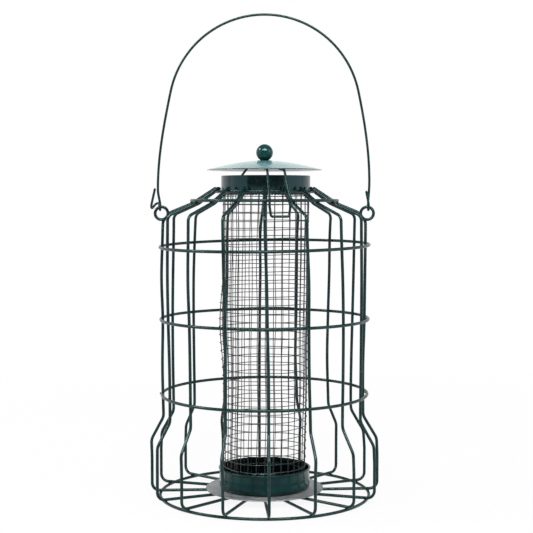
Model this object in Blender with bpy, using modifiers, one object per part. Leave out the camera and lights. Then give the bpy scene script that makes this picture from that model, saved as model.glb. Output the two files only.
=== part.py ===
"""Caged seed feeder: a wire cage round a mesh seed tube, with a tilting lid and a bail handle.

Metres, +Z up. The origin is on the cage's axis, on the surface that the feeder stands on.
Azimuths are measured round the axis from the front (-Y) towards +X.
"""

import math

import bmesh
import bpy
from mathutils import Vector, geometry

# Wire stock and fits
CAGE_WIRE = 0.0022
TRIM_WIRE = 0.0016
FIT_GAP = 0.0003
SWING_GAP = 0.0005

# Cage ribs: each runs from under the base plate, up the side and in to the top ring
RIB_COUNT = 16
RIB_RADIUS = 0.0785
FOOT_RADIUS = 0.0888
SHOULDER_HEIGHT = 0.2150
SHOULDER_RISE = 0.0218
FLARE_TOP_HEIGHT = 0.0616
FLARE_FOOT_HEIGHT = 0.0438
SHOULDER_BEND = 0.008
FLARE_BEND = 0.010
FOOT_BEND = 0.006
SPOKE_LAP = 0.016
TIP_LAP = 0.0009

# Cage rings
LOWER_HOOP_HEIGHT = 0.0793
HOOP_SPACING = 0.05805
SHOULDER_RING_RADIUS = 0.0565
BASE_RING_INSET = 0.0073

# Eyelets wound in the two side ribs for the handle
EYE_RADIUS = 0.0049
EYE_OFFSET = 0.0011
EYE_LEAN = math.radians(25)
EYE_RAMP = 0.009

# Handle
HANDLE_HEIGHT = 0.3728
HANDLE_BEND = 0.0740
HANDLE_BEND_HALF_ANGLE = math.radians(78)
HANDLE_SPREAD = 0.0811
HANDLE_SPREAD_HEIGHT = 0.0190
HOOK_OFFSET = 0.0008
HOOK_END_HEIGHT = 0.0130

# Free ends of the handle's hooks, as shares of the eyelet's radius, the hook's reach and its end's height
RIGHT_HOOK_SHARES = [(-0.35, -0.85, 0.90), (-0.15, -1.0, 0.50), (0.02, -1.0, 0.15)]
LEFT_HOOK_SHARES = [
    (0.89, 0.0, 1.05),
    (1.06, 0.0, 0.69),
    (1.20, 0.0, 0.44),
    (1.10, -0.05, 0.33),
    (0.80, -0.15, 0.30),
    (0.42, -0.40, 0.26),
    (0.12, -0.92, 0.12),
]

# Seed tube, its collar and its cup
COLLAR_RADIUS = 0.0345
COLLAR_WALL = 0.0005
COLLAR_DROP = 0.0018
COLLAR_HEIGHT = 0.0140
TUBE_WIRE = 0.0008
TUBE_TOP_DEPTH = 0.0015
CUP_RADIUS = 0.0353
CUP_HEIGHT = 0.0160
CUP_WALL = 0.0005
CUP_CORNER = 0.0015
BASE_PLATE_RADIUS = 0.0459
BASE_PLATE_THICKNESS = 0.0008

# Lid and knob
LID_RADIUS = 0.0447
LID_LIFT = 0.0048
LID_RISE = 0.0070
LID_DIMPLE_RADIUS = 0.0085
LID_DIMPLE_DEPTH = 0.0014
LID_WALL = 0.0006
KNOB_RADIUS = 0.0064
DISH_RADIUS = 0.00605
DISH_WALL = 0.0005

# Fasteners
SCREW_RADIUS = 0.0015
SCREW_HEAD_RADIUS = 0.0028
SCREW_HEAD_HEIGHT = 0.0018
SCREW_SLOT_WIDTH = 0.0007
SCREW_END = 0.0006
NUT_ACROSS_FLATS = 0.0055
NUT_HEIGHT = 0.0024
WASHER_RADIUS = 0.0035
WASHER_THICKNESS = 0.0005

# Lid clip: one wire from the top ring, past the knob's stud, to the pull loop at the front
CLIP_REAR_AZIMUTH = math.radians(210)
CLIP_FRONT_AZIMUTH = math.radians(11.25)
CLIP_RIM_HALF_WIDTH = 0.0064
CLIP_BEND_HALF_WIDTH = 0.0078
CLIP_LOOP_HALF_WIDTH = 0.0067
CLIP_LOOP_DEPTH = 0.0124
CLIP_KINK = 0.0003
CLIP_KINK_DEPTH = 0.0060
CLIP_RIM_INSET = 0.0020
CLIP_BEND = 0.0025
CLIP_LOOP_BEND = 0.0015
CLIP_CURL_SWEEP = math.radians(120)

# Facets: how finely round shapes are drawn
RING_SIDES = 48
WIRE_RESOLUTION = 1
WIRE_SIDES = 6
BASE_RING_SIDES = 8
KNOB_RINGS = 10
KNOB_SIDES = 20
ROUND_SIDES = 16
NUT_SIDES = 6
TUBE_COLUMNS = 24
TUBE_ROWS = 28
LID_RINGS = 4
DIMPLE_RINGS = 4
BEND_STEP = math.radians(23)
TURN_STEP = math.radians(24)
ARCH_STEPS = 14
LEG_STEPS = 6
HOOK_STEPS = 2
CORNER_STEPS = 2
MERGE_DISTANCE = 0.00001
CUT_OVERRUN = 0.001

# Heights and radii that follow from the sizes above
TOUCH = CAGE_WIRE + FIT_GAP
WIRE_TOUCH = (CAGE_WIRE + TRIM_WIRE) / 2 + FIT_GAP
TOP_RING_RADIUS = COLLAR_RADIUS + FIT_GAP + TRIM_WIRE + FIT_GAP + CAGE_WIRE / 2
TOP_RING_HEIGHT = SHOULDER_HEIGHT + SHOULDER_RISE
HOOP_RADIUS = RIB_RADIUS + TOUCH
BASE_RING_RADIUS = FOOT_RADIUS - BASE_RING_INSET
SPOKE_HEIGHT = CAGE_WIRE / 2 + TOUCH
PLATE_HEIGHT = SPOKE_HEIGHT + CAGE_WIRE / 2 + FIT_GAP
CUP_BASE = PLATE_HEIGHT + BASE_PLATE_THICKNESS + FIT_GAP
CUP_FLOOR = CUP_BASE + CUP_WALL
COLLAR_FOOT_HEIGHT = TOP_RING_HEIGHT - COLLAR_DROP
COLLAR_TOP = COLLAR_FOOT_HEIGHT + COLLAR_HEIGHT
TUBE_RADIUS = COLLAR_RADIUS - COLLAR_WALL - FIT_GAP - TUBE_WIRE / 2
SCREW_HOLE = SCREW_RADIUS + FIT_GAP
LID_RIM_HEIGHT = COLLAR_TOP + LID_LIFT
LID_TOP = LID_RIM_HEIGHT + LID_RISE - LID_DIMPLE_DEPTH
DISH_SEAT = LID_TOP + FIT_GAP
KNOB_HEIGHT = DISH_SEAT + DISH_WALL + FIT_GAP + KNOB_RADIUS
CLIP_EYE_HEIGHT = LID_TOP - LID_WALL - FIT_GAP - TRIM_WIRE / 2
LID_NUT_TOP = CLIP_EYE_HEIGHT - TRIM_WIRE / 2 - FIT_GAP
KNOB_STUD_END = LID_NUT_TOP - NUT_HEIGHT - SCREW_END
WASHER_TOP = PLATE_HEIGHT - FIT_GAP
CUP_NUT_TOP = WASHER_TOP - WASHER_THICKNESS - FIT_GAP
CUP_SCREW_END = CUP_NUT_TOP - NUT_HEIGHT - SCREW_END

# Finishes: colour, roughness and metallic value
FINISHES = {
    "green_coat": ((0.022, 0.072, 0.066, 1), 0.32, 0.0),
    "gloss_green": ((0.012, 0.085, 0.075, 1), 0.14, 0.0),
    "lid_green": ((0.075, 0.150, 0.145, 1), 0.20, 0.0),
    "collar_black": ((0.030, 0.040, 0.048, 1), 0.22, 0.0),
    "mesh_wire": ((0.060, 0.058, 0.055, 1), 0.45, 0.3),
    "galvanised": ((0.420, 0.440, 0.440, 1), 0.50, 0.9),
    "plated_steel": ((0.550, 0.560, 0.560, 1), 0.30, 1.0),
}


def slope_angle():
    """Angle above level at which the ribs run in from the shoulder, so that they lie on the top ring."""
    run = RIB_RADIUS - TOP_RING_RADIUS
    return math.atan2(SHOULDER_RISE, run) + math.asin(TOUCH / math.hypot(run, SHOULDER_RISE))


SLOPE = slope_angle()
SLOPE_SIN = math.sin(SLOPE)
SLOPE_COS = math.cos(SLOPE)


def above_slope(radius, lift):
    """Height of a point at this radius that stands this far off the ribs' slope."""
    along = (RIB_RADIUS + SLOPE_SIN * lift - radius) / SLOPE_COS
    return SHOULDER_HEIGHT + SLOPE_SIN * along + SLOPE_COS * lift


EYE_OUT = RIB_RADIUS + EYE_OFFSET
EYE_HEIGHT = above_slope(EYE_OUT, EYE_RADIUS)
HANDLE_PIVOT = Vector((0, 0, EYE_HEIGHT + EYE_RADIUS))
SHOULDER_RING_HEIGHT = above_slope(SHOULDER_RING_RADIUS, TOUCH)


def on_cage(azimuth, radius, height, side=0):
    """World point at a radius and height on an azimuth, and this far to its anticlockwise side."""
    sine = math.sin(azimuth)
    cosine = math.cos(azimuth)
    return Vector((radius * sine + side * cosine, side * sine - radius * cosine, height))


LID_PIVOT = on_cage(CLIP_REAR_AZIMUTH, TOP_RING_RADIUS, TOP_RING_HEIGHT)


def clear_scene():
    """Remove the objects that the scene opens with."""
    for obj in list(bpy.data.objects):
        bpy.data.objects.remove(obj)


def make_collection(name):
    """Make a collection in the scene."""
    collection = bpy.data.collections.new(name)
    bpy.context.scene.collection.children.link(collection)
    return collection


def make_finish(name, colour, roughness, metallic):
    """Make one Principled BSDF material."""
    material = bpy.data.materials.new(name)
    material.use_nodes = True
    material.diffuse_color = colour
    shader = material.node_tree.nodes["Principled BSDF"]
    shader.inputs["Base Color"].default_value = colour
    shader.inputs["Roughness"].default_value = roughness
    shader.inputs["Metallic"].default_value = metallic
    return material


def add_piece(name, data, finish, pivot=None):
    """Add a named sub-part; a moving one hangs from the empty on its joint's axis."""
    obj = bpy.data.objects.new(name, data)
    data.materials.append(bpy.data.materials[finish])
    bpy.data.collections["caged_seed_feeder"].objects.link(obj)
    if pivot:
        obj.parent = pivot
        obj.location = -pivot.location
    return obj


def add_pivot(name, place):
    """Add the empty that a moving sub-part turns about."""
    empty = bpy.data.objects.new(name, None)
    empty.location = place
    bpy.data.collections["caged_seed_feeder"].objects.link(empty)
    return empty


def rounded(corners, bends):
    """Points of a path through the corners, with each inner corner bent to its radius."""
    path = [corners[0]]
    for before, corner, after, bend in zip(corners, corners[1:], corners[2:], bends):
        inward = (corner - before).normalized()
        outward = (after - corner).normalized()
        turn = inward.angle(outward)
        centre = corner + (outward - inward).normalized() * bend / math.cos(turn / 2)
        start = corner - inward * bend * math.tan(turn / 2)
        steps = math.ceil(turn / BEND_STEP)
        for step in range(steps + 1):
            angle = turn * step / steps
            path.append(centre + (start - centre) * math.cos(angle) + inward * bend * math.sin(angle))
    path.append(corners[-1])
    return path


def through(points, steps):
    """Points of a smooth curve that passes through each given point."""
    ends = [points[0] * 2 - points[1]] + points + [points[-1] * 2 - points[-2]]
    path = []
    for before, start, end, after in zip(ends, ends[1:], ends[2:], ends[3:]):
        pull = (end - before) / 6, (after - start) / 6
        path += geometry.interpolate_bezier(start, start + pull[0], end - pull[1], end, steps + 1)[:-1]
    return path + [points[-1]]


def add_wire(name, points, diameter, finish, pivot=None):
    """Add a round wire along the points, with closed ends."""
    curve = bpy.data.curves.new(name, "CURVE")
    curve.dimensions = "3D"
    curve.bevel_depth = diameter / 2
    curve.bevel_resolution = WIRE_RESOLUTION
    curve.use_fill_caps = True
    spline = curve.splines.new("POLY")
    spline.points.add(len(points) - 1)
    for target, point in zip(spline.points, points):
        target.co = (*point, 1)
    spline.use_smooth = True
    return add_piece(name, curve, finish, pivot)


def add_turned(name, profile, sides, finish, closed=True, pivot=None):
    """Add a shape turned about the Z axis from (radius, height) points that run down its outer side."""
    mesh = bpy.data.meshes.new(name)
    count = len(profile)
    edges = [(index, (index + 1) % count) for index in range(count if closed else count - 1)]
    mesh.from_pydata([(radius, 0, height) for radius, height in profile], edges, [])
    obj = add_piece(name, mesh, finish, pivot)
    screw = obj.modifiers.new("turn", "SCREW")
    screw.steps = sides
    screw.render_steps = sides
    screw.use_merge_vertices = True
    screw.merge_threshold = MERGE_DISTANCE
    screw.use_smooth_shade = True
    return obj


def add_ring(name, radius, height):
    """Add a ring of cage wire, centred on the axis."""
    bpy.ops.mesh.primitive_torus_add(
        major_segments=RING_SIDES,
        minor_segments=WIRE_SIDES,
        major_radius=radius,
        minor_radius=CAGE_WIRE / 2,
        location=(0, 0, height),
    )
    obj = bpy.context.object
    obj.name = name
    obj.data.name = name
    obj.data.shade_smooth()
    obj.data.materials.append(bpy.data.materials["green_coat"])
    for collection in list(obj.users_collection):
        collection.objects.unlink(obj)
    bpy.data.collections["caged_seed_feeder"].objects.link(obj)


def tip_point():
    """Rib tip, just past where the rib lies on the top ring, as (radius, height)."""
    run = RIB_RADIUS - TOP_RING_RADIUS
    along = math.sqrt(run * run + SHOULDER_RISE * SHOULDER_RISE - TOUCH * TOUCH) + TIP_LAP
    return RIB_RADIUS - SLOPE_COS * along, SHOULDER_HEIGHT + SLOPE_SIN * along


def side_corners():
    """Corners that every rib shares, from its end under the base plate up to the flare's top."""
    return [
        (BASE_PLATE_RADIUS - SPOKE_LAP, SPOKE_HEIGHT, 0),
        (FOOT_RADIUS, SPOKE_HEIGHT, 0),
        (FOOT_RADIUS, FLARE_FOOT_HEIGHT, 0),
        (RIB_RADIUS, FLARE_TOP_HEIGHT, 0),
    ]


def add_rib(name, azimuth):
    """Add a plain rib."""
    corners = side_corners() + [(RIB_RADIUS, SHOULDER_HEIGHT, 0), (*tip_point(), 0)]
    points = [on_cage(azimuth, radius, height) for radius, height, side in corners]
    bends = [FOOT_BEND, FLARE_BEND, FLARE_BEND, SHOULDER_BEND]
    add_wire(name, rounded(points, bends), CAGE_WIRE, "green_coat")


def eye_points():
    """The eyelet's turn, from its inner side over the top and round to the slope: radius, height, side."""
    first = math.pi + EYE_LEAN
    top = math.pi / 2
    last = -math.pi / 2 - SLOPE
    shift = TOUCH / 2 + FIT_GAP / 2
    steps = math.ceil((first - last) / TURN_STEP)
    points = []
    for step in range(steps + 1):
        angle = first + (last - first) * step / steps
        if angle > top:
            side = shift * (angle - top) / (first - top)
        else:
            side = -shift * (top - angle) / (top - last)
        radius = EYE_OUT + EYE_RADIUS * math.cos(angle)
        points.append((radius, EYE_HEIGHT + EYE_RADIUS * math.sin(angle), side))
    return points


def add_eyelet_rib(name, azimuth):
    """Add a side rib, whose wire winds once into the eyelet that carries the handle."""
    hand = math.copysign(1, math.sin(azimuth))
    turn = eye_points()
    start_radius, start_height, shift = turn[0]
    jog = (RIB_RADIUS - start_radius) / math.tan(EYE_LEAN)
    leg_top = start_height - jog
    corners = side_corners()
    corners.append((RIB_RADIUS, leg_top - EYE_RAMP, 0))
    corners.append((RIB_RADIUS, leg_top, shift))
    corners.append(turn[0])
    bends = [FOOT_BEND, FLARE_BEND, FLARE_BEND, SHOULDER_BEND, SHOULDER_BEND]
    leg = [on_cage(azimuth, radius, height, hand * side) for radius, height, side in corners]
    points = rounded(leg, bends)
    points += [on_cage(azimuth, radius, height, hand * side) for radius, height, side in turn[1:]]
    points.append(on_cage(azimuth, *tip_point()))
    add_wire(name, points, CAGE_WIRE, "green_coat")


def add_cage():
    """Add the ribs and the rings that hold them."""
    quarter = RIB_COUNT // 4
    for index in range(RIB_COUNT):
        azimuth = math.tau * index / RIB_COUNT
        name = f"cage_rib_{index + 1:02d}"
        if index in (quarter, RIB_COUNT - quarter):
            add_eyelet_rib(name, azimuth)
        else:
            add_rib(name, azimuth)
    add_ring("top_ring", TOP_RING_RADIUS, TOP_RING_HEIGHT)
    add_ring("shoulder_ring", SHOULDER_RING_RADIUS, SHOULDER_RING_HEIGHT)
    for index, name in enumerate(("lower_hoop", "middle_hoop", "upper_hoop")):
        add_ring(name, HOOP_RADIUS, LOWER_HOOP_HEIGHT + HOOP_SPACING * index)
    add_base_ring()


def add_base_ring():
    """Add the ring that the feeder stands on, with a narrow flat underneath."""
    corner_radius = CAGE_WIRE / 2 / math.cos(math.pi / BASE_RING_SIDES)
    profile = []
    for index in range(BASE_RING_SIDES):
        angle = math.pi / 2 - math.tau * (index + 1 / 2) / BASE_RING_SIDES
        profile.append(
            (
                BASE_RING_RADIUS + corner_radius * math.cos(angle),
                CAGE_WIRE / 2 + corner_radius * math.sin(angle),
            )
        )
    add_turned("base_ring", profile, RING_SIDES, "green_coat")


def box_ring(outer, inner, top, bottom):
    """Profile of a plain ring."""
    return [(outer, top), (outer, bottom), (inner, bottom), (inner, top)]


def add_base_plate():
    """Add the flat plate that the cup is screwed to."""
    profile = box_ring(BASE_PLATE_RADIUS, SCREW_HOLE, PLATE_HEIGHT + BASE_PLATE_THICKNESS, PLATE_HEIGHT)
    add_turned("base_plate", profile, RING_SIDES, "galvanised")


def add_seed_cup():
    """Add the cup that the seed tube stands in."""
    inner_corner = CUP_CORNER - CUP_WALL
    profile = [(CUP_RADIUS, CUP_BASE + CUP_HEIGHT)]
    outer_centre = CUP_RADIUS - CUP_CORNER
    centre_height = CUP_BASE + CUP_CORNER
    corner_angles = [math.pi / 2 * step / CORNER_STEPS for step in range(CORNER_STEPS + 1)]
    for angle in corner_angles:
        profile.append(
            (outer_centre + CUP_CORNER * math.cos(angle), centre_height - CUP_CORNER * math.sin(angle))
        )
    profile.append((SCREW_HOLE, CUP_BASE))
    profile.append((SCREW_HOLE, CUP_FLOOR))
    for angle in reversed(corner_angles):
        profile.append(
            (outer_centre + inner_corner * math.cos(angle), centre_height - inner_corner * math.sin(angle))
        )
    profile.append((CUP_RADIUS - CUP_WALL, CUP_BASE + CUP_HEIGHT))
    add_turned("seed_cup", profile, RING_SIDES, "gloss_green")


def add_top_collar():
    """Add the sheet-metal collar round the tube's mouth."""
    profile = box_ring(COLLAR_RADIUS, COLLAR_RADIUS - COLLAR_WALL, COLLAR_TOP, COLLAR_FOOT_HEIGHT)
    add_turned("top_collar", profile, RING_SIDES, "collar_black")


def add_mesh_tube():
    """Add the seed tube: an open lattice from the cup's floor up into the collar."""
    foot = CUP_FLOOR + FIT_GAP + TUBE_WIRE / 2
    top = COLLAR_TOP - TUBE_TOP_DEPTH
    rows = [top + (foot - top) * row / TUBE_ROWS for row in range(TUBE_ROWS + 1)]
    profile = [(TUBE_RADIUS, height) for height in rows]
    obj = add_turned("mesh_tube", profile, TUBE_COLUMNS, "mesh_wire", closed=False)
    frame = obj.modifiers.new("wires", "WIREFRAME")
    frame.thickness = TUBE_WIRE
    frame.offset = 0
    frame.use_replace = True
    frame.use_boundary = True
    frame.use_even_offset = True


def lid_under(radius):
    """Height of the lid's underside at this radius: a dome, dimpled where the knob is seated."""
    floor = DISH_RADIUS / 2
    share = min(1, max(0, (radius - floor) / (LID_DIMPLE_RADIUS - floor)))
    dip = LID_DIMPLE_DEPTH * (1 - share * share * (3 - 2 * share))
    return LID_RIM_HEIGHT + LID_RISE * (1 - (radius / LID_RADIUS) ** 2) - dip - LID_WALL


def lid_profile():
    """Dome of the lid, from its hole out to the rim and back underneath."""
    dimple = [SCREW_HOLE] + [
        (DISH_RADIUS + (2 * LID_DIMPLE_RADIUS - DISH_RADIUS) * ring / DIMPLE_RINGS) / 2
        for ring in range(DIMPLE_RINGS)
    ]
    dome = [
        LID_DIMPLE_RADIUS + (LID_RADIUS - LID_DIMPLE_RADIUS) * ring / LID_RINGS
        for ring in range(LID_RINGS + 1)
    ]
    radii = dimple + dome
    outer = [(radius, lid_under(radius) + LID_WALL) for radius in radii]
    return outer + [(radius, lid_under(radius)) for radius in reversed(radii)]


def add_lid(pivot):
    """Add the domed lid, its knob with a threaded stud, and the dished seat between them."""
    add_turned("lid", lid_profile(), RING_SIDES, "lid_green", pivot=pivot)
    dish_rim = lid_under(DISH_RADIUS) + LID_WALL + FIT_GAP
    dish = [
        (DISH_RADIUS, dish_rim + DISH_WALL),
        (DISH_RADIUS, dish_rim),
        (DISH_RADIUS / 2, DISH_SEAT),
        (SCREW_HOLE, DISH_SEAT),
        (SCREW_HOLE, DISH_SEAT + DISH_WALL),
        (DISH_RADIUS / 2, DISH_SEAT + DISH_WALL),
    ]
    add_turned("knob_dish", dish, KNOB_SIDES, "gloss_green", pivot=pivot)
    neck = math.asin(SCREW_RADIUS / KNOB_RADIUS)
    ball = []
    for ring in range(KNOB_RINGS + 1):
        angle = (math.pi - neck) * ring / KNOB_RINGS
        ball.append((KNOB_RADIUS * math.sin(angle), KNOB_HEIGHT + KNOB_RADIUS * math.cos(angle)))
    stud = [(SCREW_RADIUS, KNOB_STUD_END), (0, KNOB_STUD_END)]
    add_turned("knob", ball + stud, KNOB_SIDES, "gloss_green", closed=False, pivot=pivot)


def add_cutter(name, obj):
    """Keep a cutter out of the model."""
    obj.name = name
    for collection in list(obj.users_collection):
        collection.objects.unlink(obj)
    bpy.data.collections["cutters"].objects.link(obj)
    obj.hide_render = True
    obj.display_type = "WIRE"
    return obj


def cut(obj, cutter):
    """Cut one shape from another."""
    boolean = obj.modifiers.new("cut", "BOOLEAN")
    boolean.operation = "DIFFERENCE"
    boolean.object = cutter


def add_nut(name, top, pivot=None):
    """Add a hexagon nut whose upper face is at this height."""
    mesh = bpy.data.meshes.new(name)
    shape = bmesh.new()
    corner_radius = NUT_ACROSS_FLATS / 2 / math.cos(math.pi / NUT_SIDES)
    bmesh.ops.create_cone(
        shape,
        cap_ends=True,
        segments=NUT_SIDES,
        radius1=corner_radius,
        radius2=corner_radius,
        depth=NUT_HEIGHT,
    )
    bmesh.ops.translate(shape, verts=shape.verts, vec=(0, 0, top - NUT_HEIGHT / 2))
    shape.to_mesh(mesh)
    shape.free()
    obj = add_piece(name, mesh, "plated_steel", pivot)
    bpy.ops.mesh.primitive_cylinder_add(
        vertices=ROUND_SIDES,
        radius=SCREW_HOLE,
        depth=NUT_HEIGHT + CUT_OVERRUN,
        location=(0, 0, top - NUT_HEIGHT / 2),
    )
    cut(obj, add_cutter(f"{name}_bore", bpy.context.object))


def add_cup_fasteners():
    """Add the slotted screw, the washer and the nut that hold the cup to the base plate."""
    head_foot = CUP_FLOOR + FIT_GAP
    profile = [
        (0, head_foot + SCREW_HEAD_HEIGHT),
        (SCREW_HEAD_RADIUS * 3 / 4, head_foot + SCREW_HEAD_HEIGHT * 9 / 10),
        (SCREW_HEAD_RADIUS, head_foot + SCREW_HEAD_HEIGHT / 2),
        (SCREW_HEAD_RADIUS, head_foot),
        (SCREW_RADIUS, head_foot),
        (SCREW_RADIUS, CUP_SCREW_END),
        (0, CUP_SCREW_END),
    ]
    screw = add_turned("cup_screw", profile, ROUND_SIDES, "plated_steel", closed=False)
    bpy.ops.mesh.primitive_cube_add(size=1, location=(0, 0, head_foot + SCREW_HEAD_HEIGHT))
    slot = bpy.context.object
    slot.scale = (SCREW_HEAD_RADIUS * 2 + CUT_OVERRUN, SCREW_SLOT_WIDTH, SCREW_HEAD_HEIGHT)
    cut(screw, add_cutter("screw_slot", slot))
    washer = box_ring(WASHER_RADIUS, SCREW_HOLE, WASHER_TOP, WASHER_TOP - WASHER_THICKNESS)
    add_turned("cup_washer", washer, ROUND_SIDES, "plated_steel")
    add_nut("cup_nut", CUP_NUT_TOP)


def clip_rear_points():
    """The clip's hook round the top ring and its arm over the collar: radius and height."""
    points = []
    start = math.pi / 2
    sweep = -3 * math.pi / 2
    steps = math.ceil(-sweep / TURN_STEP)
    for step in range(steps + 1):
        angle = start + sweep * step / steps
        radius = TOP_RING_RADIUS + WIRE_TOUCH * math.cos(angle)
        points.append((radius, TOP_RING_HEIGHT + WIRE_TOUCH * math.sin(angle)))
    rim_clear = TRIM_WIRE / 2 + FIT_GAP
    points.append((COLLAR_RADIUS + rim_clear * 3 / 2, COLLAR_TOP + rim_clear))
    rise_radius = COLLAR_RADIUS * 3 / 4
    points.append((rise_radius, lid_under(rise_radius) - rim_clear))
    return points


def clip_front_point(along, side, height):
    """World point in the clip's own frame: along its azimuth, to its side, and its height."""
    return on_cage(CLIP_FRONT_AZIMUTH, along, height, side)


def add_lid_clip(pivot):
    """Add the clip: hook, rear arm, pass by the stud, pull loop, and a curl back round the stud."""
    rear = [on_cage(CLIP_REAR_AZIMUTH, radius, height) for radius, height in clip_rear_points()]
    stud_reach = SCREW_RADIUS + FIT_GAP + TRIM_WIRE / 2
    rim = LID_RADIUS - CLIP_RIM_INSET
    rim_height = lid_under(rim) - TRIM_WIRE / 2 - FIT_GAP
    bend_out = math.sqrt(SHOULDER_RING_RADIUS**2 - CLIP_BEND_HALF_WIDTH**2) + WIRE_TOUCH
    bend_height = SHOULDER_RING_HEIGHT + CAGE_WIRE / 4
    loop_height = bend_height - CLIP_LOOP_DEPTH
    front = []
    for hand in (-1, 1):
        leg = [
            (rim, hand * CLIP_RIM_HALF_WIDTH, rim_height),
            (bend_out, hand * CLIP_BEND_HALF_WIDTH, bend_height),
            (bend_out - CLIP_KINK, hand * CLIP_BEND_HALF_WIDTH, bend_height - CLIP_KINK_DEPTH),
            (bend_out, hand * CLIP_LOOP_HALF_WIDTH, loop_height),
        ]
        front.append([clip_front_point(*corner) for corner in leg])
    by_stud = clip_front_point(0, -stud_reach, CLIP_EYE_HEIGHT)
    curl = []
    steps = math.ceil(CLIP_CURL_SWEEP / TURN_STEP)
    for step in range(steps + 1):
        angle = CLIP_CURL_SWEEP * step / steps
        curl.append(
            clip_front_point(-stud_reach * math.sin(angle), stud_reach * math.cos(angle), CLIP_EYE_HEIGHT)
        )
    corners = [rear[-1], by_stud] + front[0] + front[1][::-1] + curl[:1]
    loop_bends = [CLIP_LOOP_BEND] * 2
    leg_bends = [CLIP_BEND] * 3
    bends = [CLIP_BEND] + leg_bends + loop_bends + leg_bends
    rear_path = rounded([*rear[-3:], by_stud], [CLIP_LOOP_BEND, CLIP_BEND])
    path = rear[:-3] + rear_path[:-1] + rounded(corners, bends)[1:] + curl[1:]
    add_wire("lid_clip", path, TRIM_WIRE, "green_coat", pivot)


def hook_path(hand, end_shares):
    """Centre line from a hook's free end, round the eyelet's top and up its leg to the arch."""
    reach = (CAGE_WIRE + TRIM_WIRE) / 2 + SWING_GAP
    out = EYE_OUT + HOOK_OFFSET
    pivot = HANDLE_PIVOT.z
    free = [
        Vector((out + across * EYE_RADIUS, forward * reach, pivot + up * HOOK_END_HEIGHT))
        for across, forward, up in end_shares
    ]
    turn = []
    steps = math.ceil(math.pi / TURN_STEP)
    for step in range(steps + 1):
        angle = math.pi * step / steps
        turn.append(Vector((out, -reach * math.cos(angle), pivot - reach * math.sin(angle))))
    widest = Vector((HANDLE_SPREAD, 0, pivot + HANDLE_SPREAD_HEIGHT))
    centre_height = HANDLE_HEIGHT - HANDLE_BEND
    side = math.sin(HANDLE_BEND_HALF_ANGLE)
    up = math.cos(HANDLE_BEND_HALF_ANGLE)
    arch_foot = Vector((HANDLE_BEND * side, 0, centre_height + HANDLE_BEND * up))
    leg_pull = (arch_foot.z - widest.z) / 3
    hook_rise = Vector((0, 0, HANDLE_SPREAD_HEIGHT / 3))
    leg = geometry.interpolate_bezier(
        turn[-1], turn[-1] + hook_rise, widest - hook_rise, widest, LEG_STEPS + 1
    )
    leg += geometry.interpolate_bezier(
        widest,
        widest + Vector((0, 0, leg_pull)),
        arch_foot - Vector((up / side * -leg_pull, 0, leg_pull)),
        arch_foot,
        LEG_STEPS + 1,
    )[1:]
    path = through(free + [turn[0]], HOOK_STEPS)[:-1] + turn + leg[1:]
    return [Vector((hand * point.x, point.y, point.z)) for point in path]


def add_handle(pivot):
    """Add the bail handle: an arch of wire whose two hooks hang in the eyelets."""
    right = hook_path(1, RIGHT_HOOK_SHARES)
    left = hook_path(-1, LEFT_HOOK_SHARES)
    arch = []
    for step in range(1, ARCH_STEPS):
        angle = HANDLE_BEND_HALF_ANGLE * (1 - 2 * step / ARCH_STEPS)
        arch.append(
            Vector(
                (
                    HANDLE_BEND * math.sin(angle),
                    0,
                    HANDLE_HEIGHT - HANDLE_BEND + HANDLE_BEND * math.cos(angle),
                )
            )
        )
    add_wire("handle", right + arch + left[::-1], TRIM_WIRE, "green_coat", pivot)


def main():
    """Build the feeder from the ground up."""
    clear_scene()
    make_collection("caged_seed_feeder")
    make_collection("cutters")
    for name, (colour, roughness, metallic) in FINISHES.items():
        make_finish(name, colour, roughness, metallic)
    add_cage()
    add_base_plate()
    add_seed_cup()
    add_cup_fasteners()
    add_mesh_tube()
    add_top_collar()
    lid_pivot = add_pivot("lid_pivot", LID_PIVOT)
    add_lid(lid_pivot)
    add_nut("lid_nut", LID_NUT_TOP, lid_pivot)
    add_lid_clip(lid_pivot)
    add_handle(add_pivot("handle_pivot", HANDLE_PIVOT))


main()
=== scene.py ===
"""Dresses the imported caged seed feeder: smooth coated wires, welded mesh, pressed sheet and plated screws.

Metres, +Z up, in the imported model's own frame. Azimuths run round the cage's axis from the front
(-Y) towards +X.
"""

import logging
import math
from collections.abc import Callable, Iterable, Sequence
from dataclasses import dataclass, field
from enum import Enum
from functools import cached_property, partial
from typing import Any

import bpy
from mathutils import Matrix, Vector, geometry, kdtree, noise


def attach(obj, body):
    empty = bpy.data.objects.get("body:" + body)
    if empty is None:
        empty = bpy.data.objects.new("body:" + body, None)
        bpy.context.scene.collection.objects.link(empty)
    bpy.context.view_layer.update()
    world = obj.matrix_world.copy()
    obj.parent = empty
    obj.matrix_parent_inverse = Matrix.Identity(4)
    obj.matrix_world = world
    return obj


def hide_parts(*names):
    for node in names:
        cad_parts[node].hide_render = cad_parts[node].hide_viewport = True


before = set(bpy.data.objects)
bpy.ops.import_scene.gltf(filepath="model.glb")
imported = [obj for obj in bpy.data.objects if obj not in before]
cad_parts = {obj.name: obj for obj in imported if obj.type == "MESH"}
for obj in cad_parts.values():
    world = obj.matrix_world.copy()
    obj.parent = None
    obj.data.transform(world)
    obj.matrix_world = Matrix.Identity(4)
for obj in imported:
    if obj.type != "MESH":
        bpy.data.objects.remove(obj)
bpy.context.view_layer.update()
LOG = logging.getLogger("seed_feeder")

Colour = tuple[float, float, float]
Pair = tuple[float, float]
Triple = tuple[float, float, float]
Profile = Sequence[Pair]
Shape = Callable[[float, float, float], Pair]
Station = tuple[Vector, Vector, Vector, float]

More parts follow.
